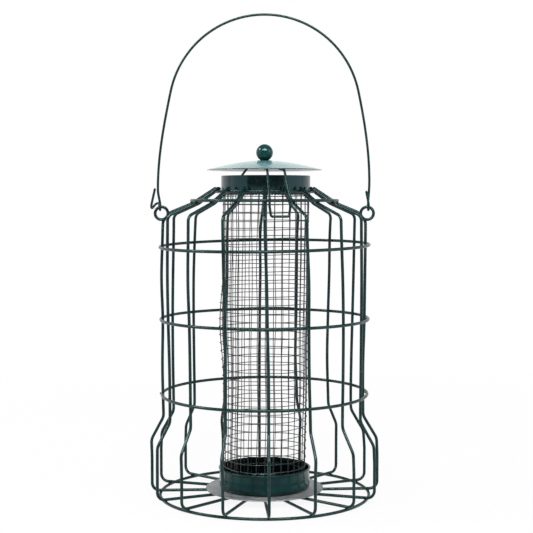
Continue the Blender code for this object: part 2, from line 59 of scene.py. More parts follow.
# Sizes and fits that several sub-assemblies share
CAGE_WIRE = 0.0022
CAGE_COATED = 0.00235
TRIM_WIRE = 0.0016
TRIM_COATED = 0.0019
FIT_GAP = 0.0003
SWING_GAP = 0.0005
MERGE_SPAN = 1e-7
BEND_STEP = 0.10
MM = 0.001
QUARTER = math.pi / 2
UP = Vector((0, 0, 1))
WHITE = (1.0, 1.0, 1.0, 1.0)


class Body(Enum):
    """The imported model's bodies."""

    CAGE = "cage"
    LID = "lid"
    HANDLE = "handle"


class Slot(Enum):
    """The record's material slots."""

    GREEN_COAT = "green_coat"
    GLOSS_GREEN = "gloss_green"
    LID_GREEN = "lid_green"
    COLLAR_BLACK = "collar_black"
    MESH_WIRE = "mesh_wire"
    GALVANISED = "galvanised"
    PLATED_STEEL = "plated_steel"


class End(Enum):
    """How a wire's end is finished: its length in radii, and its loops as shares of a quarter turn."""

    DOMED = (1.0, (0.25, 0.55, 0.85))
    SHEARED = (1 / 3, (0.12,))


@dataclass(eq=False)
class Socket:
    """A shader socket that takes part in Python sums, each of which adds its Math node."""

    graph: "Graph"
    raw: bpy.types.NodeSocket

    def _sum(self, operation: str, first: "Value", second: "Value") -> "Socket":
        """Add one Math node and give its result."""
        return self.graph.node("ShaderNodeMath", {"operation": operation}, {0: first, 1: second})

    def __add__(self, other: "Value") -> "Socket":
        """Self plus other."""
        return self._sum("ADD", self, other)

    def __sub__(self, other: "Value") -> "Socket":
        """Self minus other."""
        return self._sum("SUBTRACT", self, other)

    def __rsub__(self, other: "Value") -> "Socket":
        """Other minus self."""
        return self._sum("SUBTRACT", other, self)

    def __mul__(self, other: "Value") -> "Socket":
        """Self times other."""
        return self._sum("MULTIPLY", self, other)

    __radd__ = __add__
    __rmul__ = __mul__

    def above(self, level: float, width: float) -> "Socket":
        """A mask that climbs smoothly from 0 at a level to 1 a width higher."""
        settings = {"interpolation_type": "SMOOTHSTEP"}
        return self.graph.node("ShaderNodeMapRange", settings, {0: self, 1: level, 2: level + width})


Value = Socket | float


class Graph:
    """The node graph of one material or world."""

    def __init__(self, owner: bpy.types.Material | bpy.types.World) -> None:
        """Start with an empty graph.

        Args:
            owner: The material or world that the graph belongs to.
        """
        owner.use_nodes = True
        self.tree = owner.node_tree
        self.tree.nodes.clear()

    def node(
        self,
        kind: str,
        settings: dict[str, Any] | None = None,
        inputs: dict[str | int, Any] | None = None,
        output: str | int = 0,
    ) -> Socket:
        """Add any node.

        Args:
            kind: Blender's name for the node's type.
            settings: The node's own settings, set first.
            inputs: Values or links of its sockets, by name or number.
            output: The socket to return; a node without outputs returns its first input.

        Returns:
            The chosen output.
        """
        made = self.tree.nodes.new(kind)
        for key, value in (settings or {}).items():
            setattr(made, key, value)
        for key, value in (inputs or {}).items():
            if isinstance(value, Socket):
                self.tree.links.new(value.raw, made.inputs[key])
            else:
                made.inputs[key].default_value = value
        return Socket(self, made.outputs[output] if made.outputs else made.inputs[0])

    @cached_property
    def place(self) -> Socket:
        """Where a point lies on its piece, in metres."""
        return self.node("ShaderNodeTexCoord", output="Object")

    def vector(self, operation: str, *inputs: Any, output: str = "Vector") -> Socket:
        """Add a Vector Math node and give its result."""
        return self.node("ShaderNodeVectorMath", {"operation": operation}, dict(enumerate(inputs)), output)

    def part(self, vector: Socket, axis: str) -> Socket:
        """The X, Y or Z of a vector."""
        return self.node("ShaderNodeSeparateXYZ", inputs={0: vector}, output=axis)

    def grain(self, size: float, detail: float = 2.0, seed: float = 0.0) -> Socket:
        """Smooth noise about 0.5, with features of this size and its pattern moved by a seed, in metres."""
        moved = self.vector("ADD", self.place, (seed, seed, seed))
        return self.node("ShaderNodeTexNoise", inputs={"Vector": moved, "Scale": 1 / size, "Detail": detail})

    def colour_mix(self, mask: Value, low: Socket | Colour, high: Socket | Colour) -> Socket:
        """Go from the low colour where the mask is 0 to the high one where it is 1."""
        low, high = (tone if isinstance(tone, Socket) else (*tone, 1.0) for tone in (low, high))
        return self.node("ShaderNodeMix", {"data_type": "RGBA"}, {0: mask, 6: low, 7: high}, output=2)

    def bump(self, height: Socket, depth: float) -> Socket:
        """The normal of a relief whose heights from 0 to 1 are this deep, in metres."""
        return self.node("ShaderNodeBump", inputs={"Height": height, "Distance": depth})

    def surface(self, inputs: dict[str | int, Any]) -> None:
        """End the graph in a Principled surface."""
        shader = self.node("ShaderNodeBsdfPrincipled", inputs=inputs)
        self.node("ShaderNodeOutputMaterial", inputs={"Surface": shader})


@dataclass(frozen=True)
class Patches:
    """Noise cut into a mask: its finer layers, its shift in metres, where it climbs and how far."""

    detail: float
    seed: float
    start: float
    width: float

    def mask(self, graph: Graph, size: float) -> Socket:
        """Cut the mask from features of about this size."""
        return graph.grain(size, self.detail, self.seed).above(self.start, self.width)


PAINT_CLOUDS = Patches(detail=3.0, seed=0.0, start=0.34, width=0.32)
PAINT_FLECKS = Patches(detail=1.0, seed=0.31, start=0.55, width=0.2)
PAINT_SCUFFS = Patches(detail=3.0, seed=0.53, start=0.66, width=0.05)
PAINT_DULLING = Patches(detail=2.0, seed=0.17, start=0.35, width=0.3)
MESH_SCUFFS = Patches(detail=3.0, seed=0.0, start=0.48, width=0.22)
ZINC_DULLING = Patches(detail=3.0, seed=0.0, start=0.4, width=0.3)


@dataclass(frozen=True)
class Finish:
    """What every finish has: the record's slot that it answers to, and its name."""

    slot: Slot
    title: str

    def material(self) -> bpy.types.Material:
        """Give the finish's material, made the first time that it is asked for.

        Returns:
            The material.
        """
        found = bpy.data.materials.get(self.title)
        if found:
            return found
        made = bpy.data.materials.new(self.title)
        self.paint(Graph(made))
        return made

    def paint(self, graph: Graph) -> None:
        """Fill the material's empty graph."""
        raise NotImplementedError


@dataclass(frozen=True)
class Coating(Finish):
    """Glossy paint on wire or sheet: thick and dark where it gathers, thin and paler on ridges; painted shade
    darkens its undersides and the places that its gather mask marks.
    """

    deep: Colour = (0.004, 0.021, 0.021)
    thin: Colour = (0.009, 0.037, 0.036)
    worn: Colour = (0.070, 0.110, 0.105)
    # The colour of the painted shade on undersides
    under: Colour = (0.010, 0.030, 0.034)
    # The near-black of the painted shade inside the cup and along the lid's hem
    shade_black: Colour = (0.001, 0.003, 0.003)
    wear: float = 0.35
    patch: float = 0.012
    peel: float = 0.0009
    peel_depth: float = 0.000008
    # Shares of the fine flecks in the paint's depth, and of that depth's loss where the gather mask marks:
    # paint pooled at the welds, painted shade inside the cup and along the lid's hem
    flecked: float = 0.15
    pooled: float = 0.8
    gloss: Pair = (0.20, 0.34)
    scuffed: float = 0.15
    shine: float = 0.22
    tint: Colour = (1.0, 1.0, 1.0)
    coat: float = 0.0
    coat_roughness: float = 0.08
    # How far painted shade darkens the paint on an underside, and how far painted shade takes it to
    # near-black where the gather mask marks
    underside_shade: float = 0.0
    marked_shade: float = 0.0
    # How steeply a face looks down where that painted shade starts, and over how much it grows
    overhang: Pair = (-0.4, 0.5)

    def paint(self, graph: Graph) -> None:
        """Mix the paint's depth, its scuffs, the orange peel, the gathering at the welds, and the painted
        shade on undersides and where the gather mask marks.

        Args:
            graph: The empty graph.
        """
        cloud = PAINT_CLOUDS.mask(graph, self.patch)
        fleck = PAINT_FLECKS.mask(graph, self.peel * 2)
        # The gather mask marks paint pooled at the welds, and painted shade inside the cup and along the
        # lid's hem
        pooling_and_shade = graph.node("ShaderNodeAttribute", {"attribute_name": "pooling_and_shade"}, output="Fac")
        depth = cloud * (1 - self.flecked) + fleck * self.flecked
        tone = graph.colour_mix(depth * (1 - pooling_and_shade * self.pooled), self.deep, self.thin)
        # Painted shade: faces that look down are mixed towards the darker under colour
        if self.underside_shade:
            upward = graph.part(graph.node("ShaderNodeTexCoord", output="Normal"), "Z")
            under = (upward * -1).above(*self.overhang) * self.underside_shade
            tone = graph.colour_mix(under, tone, self.under)
        # Painted shade: where the gather mask marks, the colour goes towards near-black
        if self.marked_shade:
            tone = graph.colour_mix(pooling_and_shade * self.marked_shade, tone, self.shade_black)
        scuff = PAINT_SCUFFS.mask(graph, self.peel * 3)
        low, high = self.gloss
        dulling = (high - low) * PAINT_DULLING.mask(graph, self.patch / 3)
        graph.surface(
            {
                "Base Color": graph.colour_mix(scuff * self.wear, tone, self.worn),
                "Roughness": low + dulling + scuff * self.scuffed - pooling_and_shade * (low / 3),
                "Normal": graph.bump(graph.grain(self.peel, detail=1.0), self.peel_depth),
                "Specular IOR Level": self.shine,
                "Specular Tint": (*self.tint, 1.0),
                "Coat Weight": self.coat,
                "Coat Roughness": self.coat_roughness,
            }
        )


@dataclass(frozen=True)
class MeshCoating(Finish):
    """Dull drawn wire under a thin dark coat, with lighter scuffs."""

    dark: Colour = (0.006, 0.010, 0.010)
    pale: Colour = (0.022, 0.027, 0.027)
    streak: float = 0.004
    draw_depth: float = 0.00003
    roughness: float = 0.55
    polish: float = 0.2
    bared: float = 0.3

    def paint(self, graph: Graph) -> None:
        """Mix the wire's dark coat with its scuffs.

        Args:
            graph: The empty graph.
        """
        scuff = MESH_SCUFFS.mask(graph, self.streak)
        graph.surface(
            {
                "Base Color": graph.colour_mix(scuff, self.dark, self.pale),
                "Roughness": self.roughness - scuff * self.polish,
                "Metallic": scuff * self.bared,
                "Normal": graph.bump(graph.grain(self.streak / 8), self.draw_depth),
            }
        )


@dataclass(frozen=True)
class Zinc(Finish):
    """Galvanised or plated steel: crystal spangle, dull patches and fine scratches."""

    dark: Colour = (0.32, 0.33, 0.33)
    pale: Colour = (0.50, 0.51, 0.51)
    spangle: float = 0.005
    crystals: float = 0.6
    scratch_depth: float = 0.00003
    metal: float = 0.75
    gloss: Pair = (0.38, 0.62)

    def paint(self, graph: Graph) -> None:
        """Mix the spangle, its dulling and the scratches.

        Args:
            graph: The empty graph.
        """
        cells = {"Vector": graph.place, "Scale": 1 / self.spangle}
        crystal = graph.node("ShaderNodeTexVoronoi", inputs=cells, output="Color")
        tone = graph.node("ShaderNodeSeparateColor", inputs={0: crystal})
        mask = tone * self.crystals + ZINC_DULLING.mask(graph, self.spangle * 4) * (1 - self.crystals)
        low, high = self.gloss
        scratch = graph.grain(self.spangle / 12, detail=3.0, seed=0.11)
        graph.surface(
            {
                "Base Color": graph.colour_mix(mask, self.dark, self.pale),
                "Metallic": self.metal,
                "Roughness": low + (high - low) * mask,
                "Normal": graph.bump(scratch, self.scratch_depth),
            }
        )


WIRE_COAT = Coating(Slot.GREEN_COAT, "dipped green wire", tint=(0.80, 0.98, 0.95))
KNOB_ENAMEL = Coating(
    Slot.GLOSS_GREEN,
    "knob enamel",
    deep=(0.004, 0.036, 0.036),
    thin=(0.008, 0.056, 0.055),
    wear=0.0,
    gloss=(0.14, 0.20),
    shine=0.24,
    tint=(0.60, 1.0, 1.0),
    coat=0.08,
)
# The knob's green, darkened to near-black as painted shade under the ball
SHADED_SEAT_ENAMEL = Coating(
    Slot.GLOSS_GREEN,
    "seat enamel in painted shade",
    deep=(0.001, 0.010, 0.010),
    thin=(0.003, 0.018, 0.018),
    wear=0.0,
    shine=0.1,
)
# The cup's green enamel; its inside is taken towards near-black as painted shade
CUP_ENAMEL = Coating(
    Slot.GLOSS_GREEN,
    "cup enamel",
    deep=(0.001, 0.018, 0.019),
    thin=(0.002, 0.031, 0.031),
    wear=0.06,
    patch=0.02,
    peel=0.005,
    peel_depth=0.00012,
    gloss=(0.10, 0.20),
    shine=0.24,
    tint=(0.72, 1.0, 1.0),
    marked_shade=0.85,
)
# The lid's colour is far paler than the knob's green as a painted sheen of the white surround; painted shade
# darkens its underside and its hem
LID_PAINT_SHEEN_AND_SHADE = Coating(
    Slot.LID_GREEN,
    "lid paint with painted sheen and shade",
    deep=(0.118, 0.275, 0.285),
    thin=(0.150, 0.320, 0.330),
    underside_shade=0.86,
    marked_shade=0.9,
    wear=0.1,
    patch=0.025,
    peel_depth=0.000005,
    gloss=(0.18, 0.26),
    shine=0.4,
    coat=0.5,
    coat_roughness=0.05,
)
COLLAR_PAINT = Coating(
    Slot.COLLAR_BLACK,
    "collar paint",
    deep=(0.003, 0.009, 0.008),
    thin=(0.009, 0.016, 0.014),
    wear=0.0,
    patch=0.015,
    peel_depth=0.000004,
    gloss=(0.12, 0.18),
    shine=0.62,
    tint=(0.42, 0.85, 1.0),
)
MESH_COAT = MeshCoating(Slot.MESH_WIRE, "mesh wire coat")
PLATE_ZINC = Zinc(
    Slot.GALVANISED, "galvanised plate", dark=(0.18, 0.19, 0.195), pale=(0.30, 0.31, 0.315), metal=0.6
)
SCREW_ZINC = Zinc(
    Slot.PLATED_STEEL,
    "plated screws",
    dark=(0.42, 0.42, 0.40),
    pale=(0.60, 0.60, 0.57),
    spangle=0.0012,
    metal=0.95,
    gloss=(0.22, 0.4),
)


def on_cage(azimuth: float, radius: float, height: float, side: float = 0.0) -> Vector:
    """World point at a radius and height on an azimuth.

    Args:
        azimuth: Angle from the front towards +X, in radians.
        radius: Distance from the axis.
        height: Height above the floor.
        side: Distance to the anticlockwise side, seen from above.

    Returns:
        The point.
    """
    sine = math.sin(azimuth)
    cosine = math.cos(azimuth)
    return Vector((radius * sine + side * cosine, side * sine - radius * cosine, height))


def bent(corners: Sequence[Vector], bends: Sequence[float]) -> list[Vector]:
    """A route through corners, each inner one bent to its radius.

    Args:
        corners: The corners in order.
        bends: A bend radius for each inner corner.

    Returns:
        The route's points.
    """
    route = [corners[0]]
    for before, corner, after, bend in zip(corners, corners[1:], corners[2:], bends):
        inward = (corner - before).normalized()
        outward = (after - corner).normalized()
        turn = inward.angle(outward)
        centre = corner + (outward - inward).normalized() * bend / math.cos(turn / 2)
        start = corner - inward * bend * math.tan(turn / 2)
        count = max(2, math.ceil(turn / BEND_STEP))
        for index in range(count + 1):
            angle = turn * index / count
            route.append(centre + (start - centre) * math.cos(angle) + inward * bend * math.sin(angle))
    route.append(corners[-1])
    return route


def through(points: Sequence[Vector], count: int) -> list[Vector]:
    """A smooth route through each given point.

    Args:
        points: The points that the route passes.
        count: How many steps it takes from one to the next.

    Returns:
        The route's points.
    """
    ends = [points[0] * 2 - points[1], *points, points[-1] * 2 - points[-2]]
    route = []
    for before, start, end, after in zip(ends, ends[1:], ends[2:], ends[3:]):
        pulls = (end - before) / 6, (after - start) / 6
        route += geometry.interpolate_bezier(start, start + pulls[0], end - pulls[1], end, count + 1)[:-1]
    return [*route, points[-1]]


def evened(route: Sequence[Vector], span: float) -> list[Vector]:
    """The same route with points added wherever two lie more than a span apart.

    Args:
        route: The route's points.
        span: The longest stretch allowed.

    Returns:
        The denser route.
    """
    dense = [route[0]]
    for start, end in zip(route, route[1:]):
        gap = (end - start).length
        if gap < MERGE_SPAN:
            continue
        count = math.ceil(gap / span)
        dense += [start.lerp(end, index / count) for index in range(1, count + 1)]
    return dense


def eased(stops: Sequence[Pair], at: float) -> float:
    """A value read from stops, on a smooth curve through them.

    Args:
        stops: (place, value) pairs, by rising place.
        at: Where to read.

    Returns:
        The value, which stays level beyond the first and the last stop.
    """
    at = min(max(at, stops[0][0]), stops[-1][0])
    index = next((number for number, stop in enumerate(stops) if stop[0] > at), len(stops) - 1)
    (start, low), (end, high) = stops[index - 1], stops[index]
    before = stops[max(index - 2, 0)]
    after = stops[min(index + 1, len(stops) - 1)]
    first = (high - before[1]) / (end - before[0]) * (end - start)
    last = (after[1] - low) / (after[0] - start) * (end - start)
    share = (at - start) / (end - start)
    rise = share * share * (3 - 2 * share)
    bow = share * (1 - share)
    return low + (high - low) * rise + bow * ((1 - share) * first - share * last)


def arc(centre: Pair, radii: Pair, first: float, last: float, count: int) -> list[Pair]:
    """Points along part of an ellipse.

    Args:
        centre: Its middle, across and up.
        radii: Its half sizes, across and up.
        first: The angle at which it starts, in radians from across towards up.
        last: The angle at which it ends.
        count: How many steps it takes.

    Returns:
        The points.
    """
    turns = [first + (last - first) * step / count for step in range(count + 1)]
    return [(centre[0] + radii[0] * math.cos(turn), centre[1] + radii[1] * math.sin(turn)) for turn in turns]


def linked(name: str, data: bpy.types.ID) -> bpy.types.Object:
    """Make an object and put it into the scene.

    Args:
        name: Its name.
        data: Its mesh, lamp or camera.

    Returns:
        The object.
    """
    obj = bpy.data.objects.new(name, data)
    bpy.context.scene.collection.objects.link(obj)
    return obj


def as_drawn(_azimuth: float, radius: float, height: float) -> Pair:
    """The shape of a plain turned piece, which leaves its section as it is."""
    return radius, height


@dataclass
class Former:
    """Gathers the points and faces of one named piece, then makes its object."""

    name: str
    points: list[Vector] = field(default_factory=list)
    faces: list[tuple[int, ...]] = field(default_factory=list)

    def _loop(self, points: Iterable[Vector]) -> list[int]:
        """Keep a loop of points.

        Args:
            points: The points in order.

        Returns:
            Their numbers.
        """
        first = len(self.points)
        self.points += points
        return list(range(first, len(self.points)))

    def _bridge(self, lower: list[int], upper: list[int]) -> None:
        """Join two loops with quads, or a loop and a single point with triangles.

        Args:
            lower: The numbers of one loop.
            upper: The numbers of the loop above it.
        """
        size = max(len(lower), len(upper))
        if size > 1:
            lower, upper = (loop * (size // len(loop)) for loop in (lower, upper))
            corners = zip(lower, [*lower[1:], lower[0]], [*upper[1:], upper[0]], upper)
            self.faces += (tuple(dict.fromkeys(corner)) for corner in corners)

    def wire(
        self,
        route: Sequence[Vector],
        diameter: float,
        sides: int = 10,
        closed: bool = False,
        end: End = End.DOMED,
    ) -> "Former":
        """Add a round wire.

        Args:
            route: Its centre line.
            diameter: Its diameter.
            sides: How many faces it has round it.
            closed: Whether its last point joins its first.
            end: How its two ends are finished.

        Returns:
            The former itself.
        """
        padded = [route[-1], *route, route[0]] if closed else [route[0], *route, route[-1]]
        heads = [(after - before).normalized() for before, after in zip(padded, padded[2:])]
        across = UP if closed else heads[0].orthogonal()
        stations: list[Station] = []
        for point, head in zip(route, heads):
            across = (across - head * across.dot(head)).normalized()
            stations.append((point, head, across, diameter / 2))
        if not closed:
            first, last = self._tip(stations[0], -1, end), self._tip(stations[-1], 1, end)
            stations = [*reversed(first), *stations, *last]
        loops = []
        for point, head, across, reach in stations:
            other = head.cross(across)
            ring = arc((0.0, 0.0), (reach, reach), 0.0, math.tau, sides)[:-1]
            loops.append(self._loop(point + across * x + other * y for x, y in ring))
        for lower, upper in zip(loops, [*loops[1:], loops[0]] if closed else loops[1:]):
            self._bridge(lower, upper)
        if not closed:
            self.faces += [tuple(reversed(loops[0])), tuple(loops[-1])]
        return self

    @staticmethod
    def _tip(station: Station, way: int, end: End) -> list[Station]:
        """Draw a wire in beyond one of its ends.

        Args:
            station: The end's own station: its point, heading, cross direction and radius.
            way: 1 beyond the last station, -1 before the first.
            end: How it is finished.

        Returns:
            The stations from the wire outwards.
        """
        point, head, across, radius = station
        length, shares = end.value
        drawn = []
        for angle in (share * QUARTER for share in shares):
            out = head * (way * length * radius * math.sin(angle))
            drawn.append((point + out, head, across, radius * math.cos(angle)))
        return drawn

    def turned(
        self, profile: Profile, sides: int, shape: Shape = as_drawn, centre: Pair = (0.0, 0.0)
    ) -> "Former":
        """Add a shape turned about an upright axis.

        Args:
            profile: (radius, height) points of the closed section, down its outer side; a radius of
                zero is a point on the axis.
            sides: How many steps it has round it.
            shape: Gives (radius, height) anew from (azimuth, radius, height).
            centre: The axis's X and Y.

        Returns:
            The former itself.
        """
        azimuths = [math.tau * side / sides for side in range(sides)]
        middle = Vector((*centre, 0))
        loops = []
        for radius, height in profile:
            if radius <= MERGE_SPAN:
                ring = [Vector((*centre, height))]
            else:
                ring = [on_cage(azimuth, *shape(azimuth, radius, height)) + middle for azimuth in azimuths]
            loops.append(self._loop(ring))
        for upper, lower in zip(loops, [*loops[1:], loops[0]]):
            self._bridge(lower, upper)
        return self

    def make(
        self,
        finish: Finish,
        body: Body,
        nodes: Iterable[str] = (),
        crease: float = 40.0,
        pool_and_shade: Callable[[Vector], float] | None = None,
    ) -> bpy.types.Object:
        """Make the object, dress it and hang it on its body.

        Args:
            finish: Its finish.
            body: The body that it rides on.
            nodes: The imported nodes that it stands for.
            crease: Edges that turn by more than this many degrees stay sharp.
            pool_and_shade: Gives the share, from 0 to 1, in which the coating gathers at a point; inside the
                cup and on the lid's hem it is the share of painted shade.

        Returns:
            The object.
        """
        mesh = bpy.data.meshes.new(self.name)
        mesh.from_pydata(self.points, [], self.faces)
        mesh.validate()
        mesh.shade_smooth()
        mesh.set_sharp_from_angle(angle=math.radians(crease))
        pooling_and_shade = mesh.attributes.new("pooling_and_shade", "FLOAT", "POINT")
        if pool_and_shade:
            for vertex in mesh.vertices:
                pooling_and_shade.data[vertex.index].value = min(1.0, max(0.0, pool_and_shade(vertex.co)))
        mesh.materials.append(finish.material())
        obj = linked(self.name, mesh)
        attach(obj, body.value)
        if nodes:
            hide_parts(*nodes)
        LOG.info("%s: %d faces on %s", self.name, len(mesh.polygons), body.value)
        return obj


@dataclass
class Cage:
    """The round wire cage: its ribs, three hoops, the rings at foot, shoulder and top, and the welds."""

    ribs: int = 16
    radius: float = 0.0785
    foot_radius: float = 0.08856
    shoulder_height: float = 0.2150
    shoulder_rise: float = 0.0218
    flare_top: float = 0.0616
    flare_foot: float = 0.0438
    shoulder_bend: float = 0.0055
    shoulder_lift: float = 0.0034
    ring_sag: float = 0.0009
    exit_turn: float = math.radians(-140)
    exit_bend: float = 0.005
    flare_bend: float = 0.010
    foot_bend: float = 0.006
    spoke_end: float = 0.0299
    tip_lap: float = 0.0008
    hoop_base: float = 0.0793
    hoop_spacing: float = 0.05805
    shoulder_ring_radius: float = 0.0565
    top_ring_radius: float = 0.0378
    base_ring_radius: float = 0.0815
    eye_radius: float = 0.0049
    eye_offset: float = 0.0011
    eye_lean: float = math.radians(45)
    eye_ramp: float = 0.007
    turn_step: float = 0.12
    rib_span: float = 0.004
    ring_steps: int = 144
    ring_sides: int = 12
    bead_sides: int = 8
    bead_reach: float = 0.0004
    bead_width: float = 0.0018
    # Heights at which the leanings of the hand-set ribs are given, from the foot up
    levels: tuple[float, ...] = (0.0300, 0.0616, 0.1000, 0.1370, 0.1700, 0.2050)
    # How far each rib leans towards the next one there, in millimetres, from the front rib round
    lean_mm: tuple[tuple[float, ...], ...] = (
        (3.4, 3.1, 3.0, 2.2, 1.6, 0.5),
        (3.0, 4.2, 3.0, 2.4, 2.2, 0.7),
        (4.5, 4.5, 4.5, 4.2, 3.1, 1.1),
        (4.5, 4.5, 3.8, 3.2, 2.6, 1.0),
        (4.0, 3.0, 1.5, 0.6, 0.2, 0.0),
        (2.0, 4.0, 4.5, 3.5, 2.5, 1.5),
        (4.1, 2.8, 4.5, 4.0, 3.1, 2.6),
        (4.5, 2.6, 4.2, 3.7, 3.4, 3.0),
        (4.5, 4.5, 4.4, 4.2, 3.7, 3.6),
        (1.8, 4.5, 3.9, 3.0, 1.9, 1.2),
        (4.5, 4.5, 4.5, 4.5, 4.0, 2.2),
        (4.5, 4.5, 4.5, 4.0, 2.5, 0.5),
        (3.0, 2.0, 1.2, 0.6, 0.2, 0.0),
        (2.5, -1.0, -0.4, -1.9, -2.6, -1.2),
        (2.9, 0.3, 0.3, 0.0, -1.1, -0.4),
        (4.4, 1.7, 1.8, 1.6, 0.8, 0.2),
    )
    # How far the cage stands in at those heights, and the two side ribs by themselves
    pull_mm: tuple[float, ...] = (0.0, 1.3, 0.9, 0.5, 0.2, 0.0)
    own_pull_mm: tuple[tuple[int, tuple[float, ...]], ...] = (
        (4, (0.0, 1.2, 1.6, 0.8, 0.5, 0.2)),
        (12, (0.7, -0.3, -1.1, -0.7, -1.6, -0.6)),
    )
    # Each hoop, lowest first: how much higher all of it, its front and its +X side sit
    hoop_tilt_mm: tuple[Triple, ...] = (
        (0.7, -0.8, 0.3),
        (1.0, -0.25, 0.2),
        (-0.25, -1.65, 1.0),
    )

    @property
    def touch(self) -> float:
        """Centre distance of two crossed cage wires."""
        return CAGE_WIRE + FIT_GAP

    @property
    def top_ring_height(self) -> float:
        """Height of the top ring's wire."""
        return self.shoulder_height + self.shoulder_rise

    @cached_property
    def slope(self) -> float:
        """Angle above level at which the ribs run in to the top ring."""
        run, rise = self.radius - self.top_ring_radius, self.shoulder_rise
        return math.atan2(rise, run) + math.asin(self.touch / math.hypot(run, rise))

    def above_slope(self, radius: float, lift: float) -> float:
        """Height at this radius of a point that stands this far off the ribs' slope."""
        along = (self.radius + math.sin(self.slope) * lift - radius) / math.cos(self.slope)
        return self.shoulder_height + math.sin(self.slope) * along + math.cos(self.slope) * lift

    @property
    def spoke_height(self) -> float:
        """Height of the spokes' wire."""
        return CAGE_WIRE / 2 + self.touch

    def tip(self) -> Pair:
        """Find a rib's upper end.

        Returns:
            Its radius and height.
        """
        run = math.hypot(self.radius - self.top_ring_radius, self.shoulder_rise)
        reach = math.sqrt(run**2 - self.touch**2) + self.tip_lap
        radius = self.radius - math.cos(self.slope) * reach
        return radius, self.shoulder_height + math.sin(self.slope) * reach

    def side(self) -> list[Triple]:
        """Radius, height and side of the corners that every rib shares, from the spoke's end up."""
        return [
            (self.spoke_end, self.spoke_height, 0.0),
            (self.foot_radius, self.spoke_height, 0.0),
            (self.foot_radius, self.flare_foot, 0.0),
            (self.radius, self.flare_top, 0.0),
        ]

    def kink(self) -> Triple:
        """Where the ribs turn a little steeper, under the shoulder ring: radius, height and side."""
        radius = self.shoulder_ring_radius
        return radius, self.above_slope(radius, 0.0) - self.ring_sag, 0.0

    def read(self, row: Sequence[float], height: float) -> float:
        """Read at a height a row that is given in millimetres at the levels and ends at the top ring."""
        return eased([*zip(self.levels, row), (self.top_ring_height, 0.0)], height) * MM

    def pull(self, height: float, index: int | None = None) -> float:
        """How far the cage, or the rib with this number, stands in at a height."""
        return self.read(dict(self.own_pull_mm).get(index, self.pull_mm), height)

    def settled(self, index: int, point: Vector) -> Vector:
        """Where a rib's point lies once the rib's own leaning is added.

        Args:
            index: The rib's number from the front round.
            point: The point on the ideal rib.

        Returns:
            The point on the hand-set rib.
        """
        azimuth = math.tau * index / self.ribs
        outward = on_cage(azimuth, 1.0, 0.0)
        sideways = on_cage(azimuth, 0.0, 0.0, 1.0)
        lean = self.read(self.lean_mm[index], point.z)
        share = 1.0
        if point.z < self.flare_foot / 2:
            share = (point.dot(outward) - self.spoke_end) / (self.foot_radius - self.spoke_end)
        return point + (sideways * lean - outward * self.pull(point.z, index)) * min(1.0, share)

    def rib_route(self, index: int) -> list[Vector]:
        """Centre line of a plain rib.

        Args:
            index: Its number from the front round.

        Returns:
            The route's points.
        """
        azimuth = math.tau * index / self.ribs
        shoulder = (self.radius, self.shoulder_height + self.shoulder_lift, 0.0)
        corners = [*self.side(), shoulder, self.kink(), (*self.tip(), 0.0)]
        bends = [self.foot_bend, *[self.flare_bend] * 2, self.shoulder_bend, self.foot_bend]
        return bent([on_cage(azimuth, *corner) for corner in corners], bends)

    def eye_route(self, azimuth: float) -> list[Vector]:
        """Centre line of a side rib, wound once into an eyelet.

        Args:
            azimuth: The rib's azimuth.

        Returns:
            The route's points.
        """
        hand = math.copysign(1.0, math.sin(azimuth))
        out = self.radius + self.eye_offset
        height = self.above_slope(out, self.eye_radius)
        first = math.pi + self.eye_lean
        last = self.exit_turn
        shift = (self.touch + FIT_GAP) / 2
        count = math.ceil((first - last) / self.turn_step)
        upper = (first - QUARTER) / (first - last) * count
        circle = arc((out, height), (self.eye_radius, self.eye_radius), first, last, count)
        turn = []
        for step, (radius, z) in enumerate(circle):
            past = upper - step
            turn.append((radius, z, shift * past / (upper if past > 0 else count - upper)))
        leg_top = turn[0][1] - (self.radius - turn[0][0]) / math.tan(self.eye_lean)

        def placed(corners: Iterable[Triple]) -> list[Vector]:
            """Points on this side of the cage, from radius, height and side."""
            return [on_cage(azimuth, radius, z, hand * side) for radius, z, side in corners]

        corners = [
            *self.side(),
            (self.radius, leg_top - self.eye_ramp, 0.0),
            (self.radius, leg_top, shift),
            turn[0],
        ]
        bends = [self.foot_bend, *[self.flare_bend] * 2, *[self.shoulder_bend] * 2]
        route = bent(placed(corners), bends) + placed(turn[1:-1])
        kink = self.kink()
        fall = (self.shoulder_height + self.shoulder_lift - kink[1]) / (self.radius - kink[0])
        radius, z, side = turn[-1]
        away = Vector((math.sin(last), -math.cos(last)))
        run = (kink[1] + fall * (radius - kink[0]) - z) / (away.y - fall * away.x)
        bend = (radius + away.x * run, z + away.y * run, side)
        corners = [turn[-1], bend, kink, (*self.tip(), 0.0)]
        return route + bent(placed(corners), [self.exit_bend, self.foot_bend])

    def hoop_height(self, hoop: int, azimuth: float) -> float:
        """Height at an azimuth of a hoop, counted from the lowest up, with its tilt."""
        tilt = Vector(self.hoop_tilt_mm[hoop]).dot((1.0, math.cos(azimuth), math.sin(azimuth)))
        return self.hoop_base + self.hoop_spacing * hoop + tilt * MM

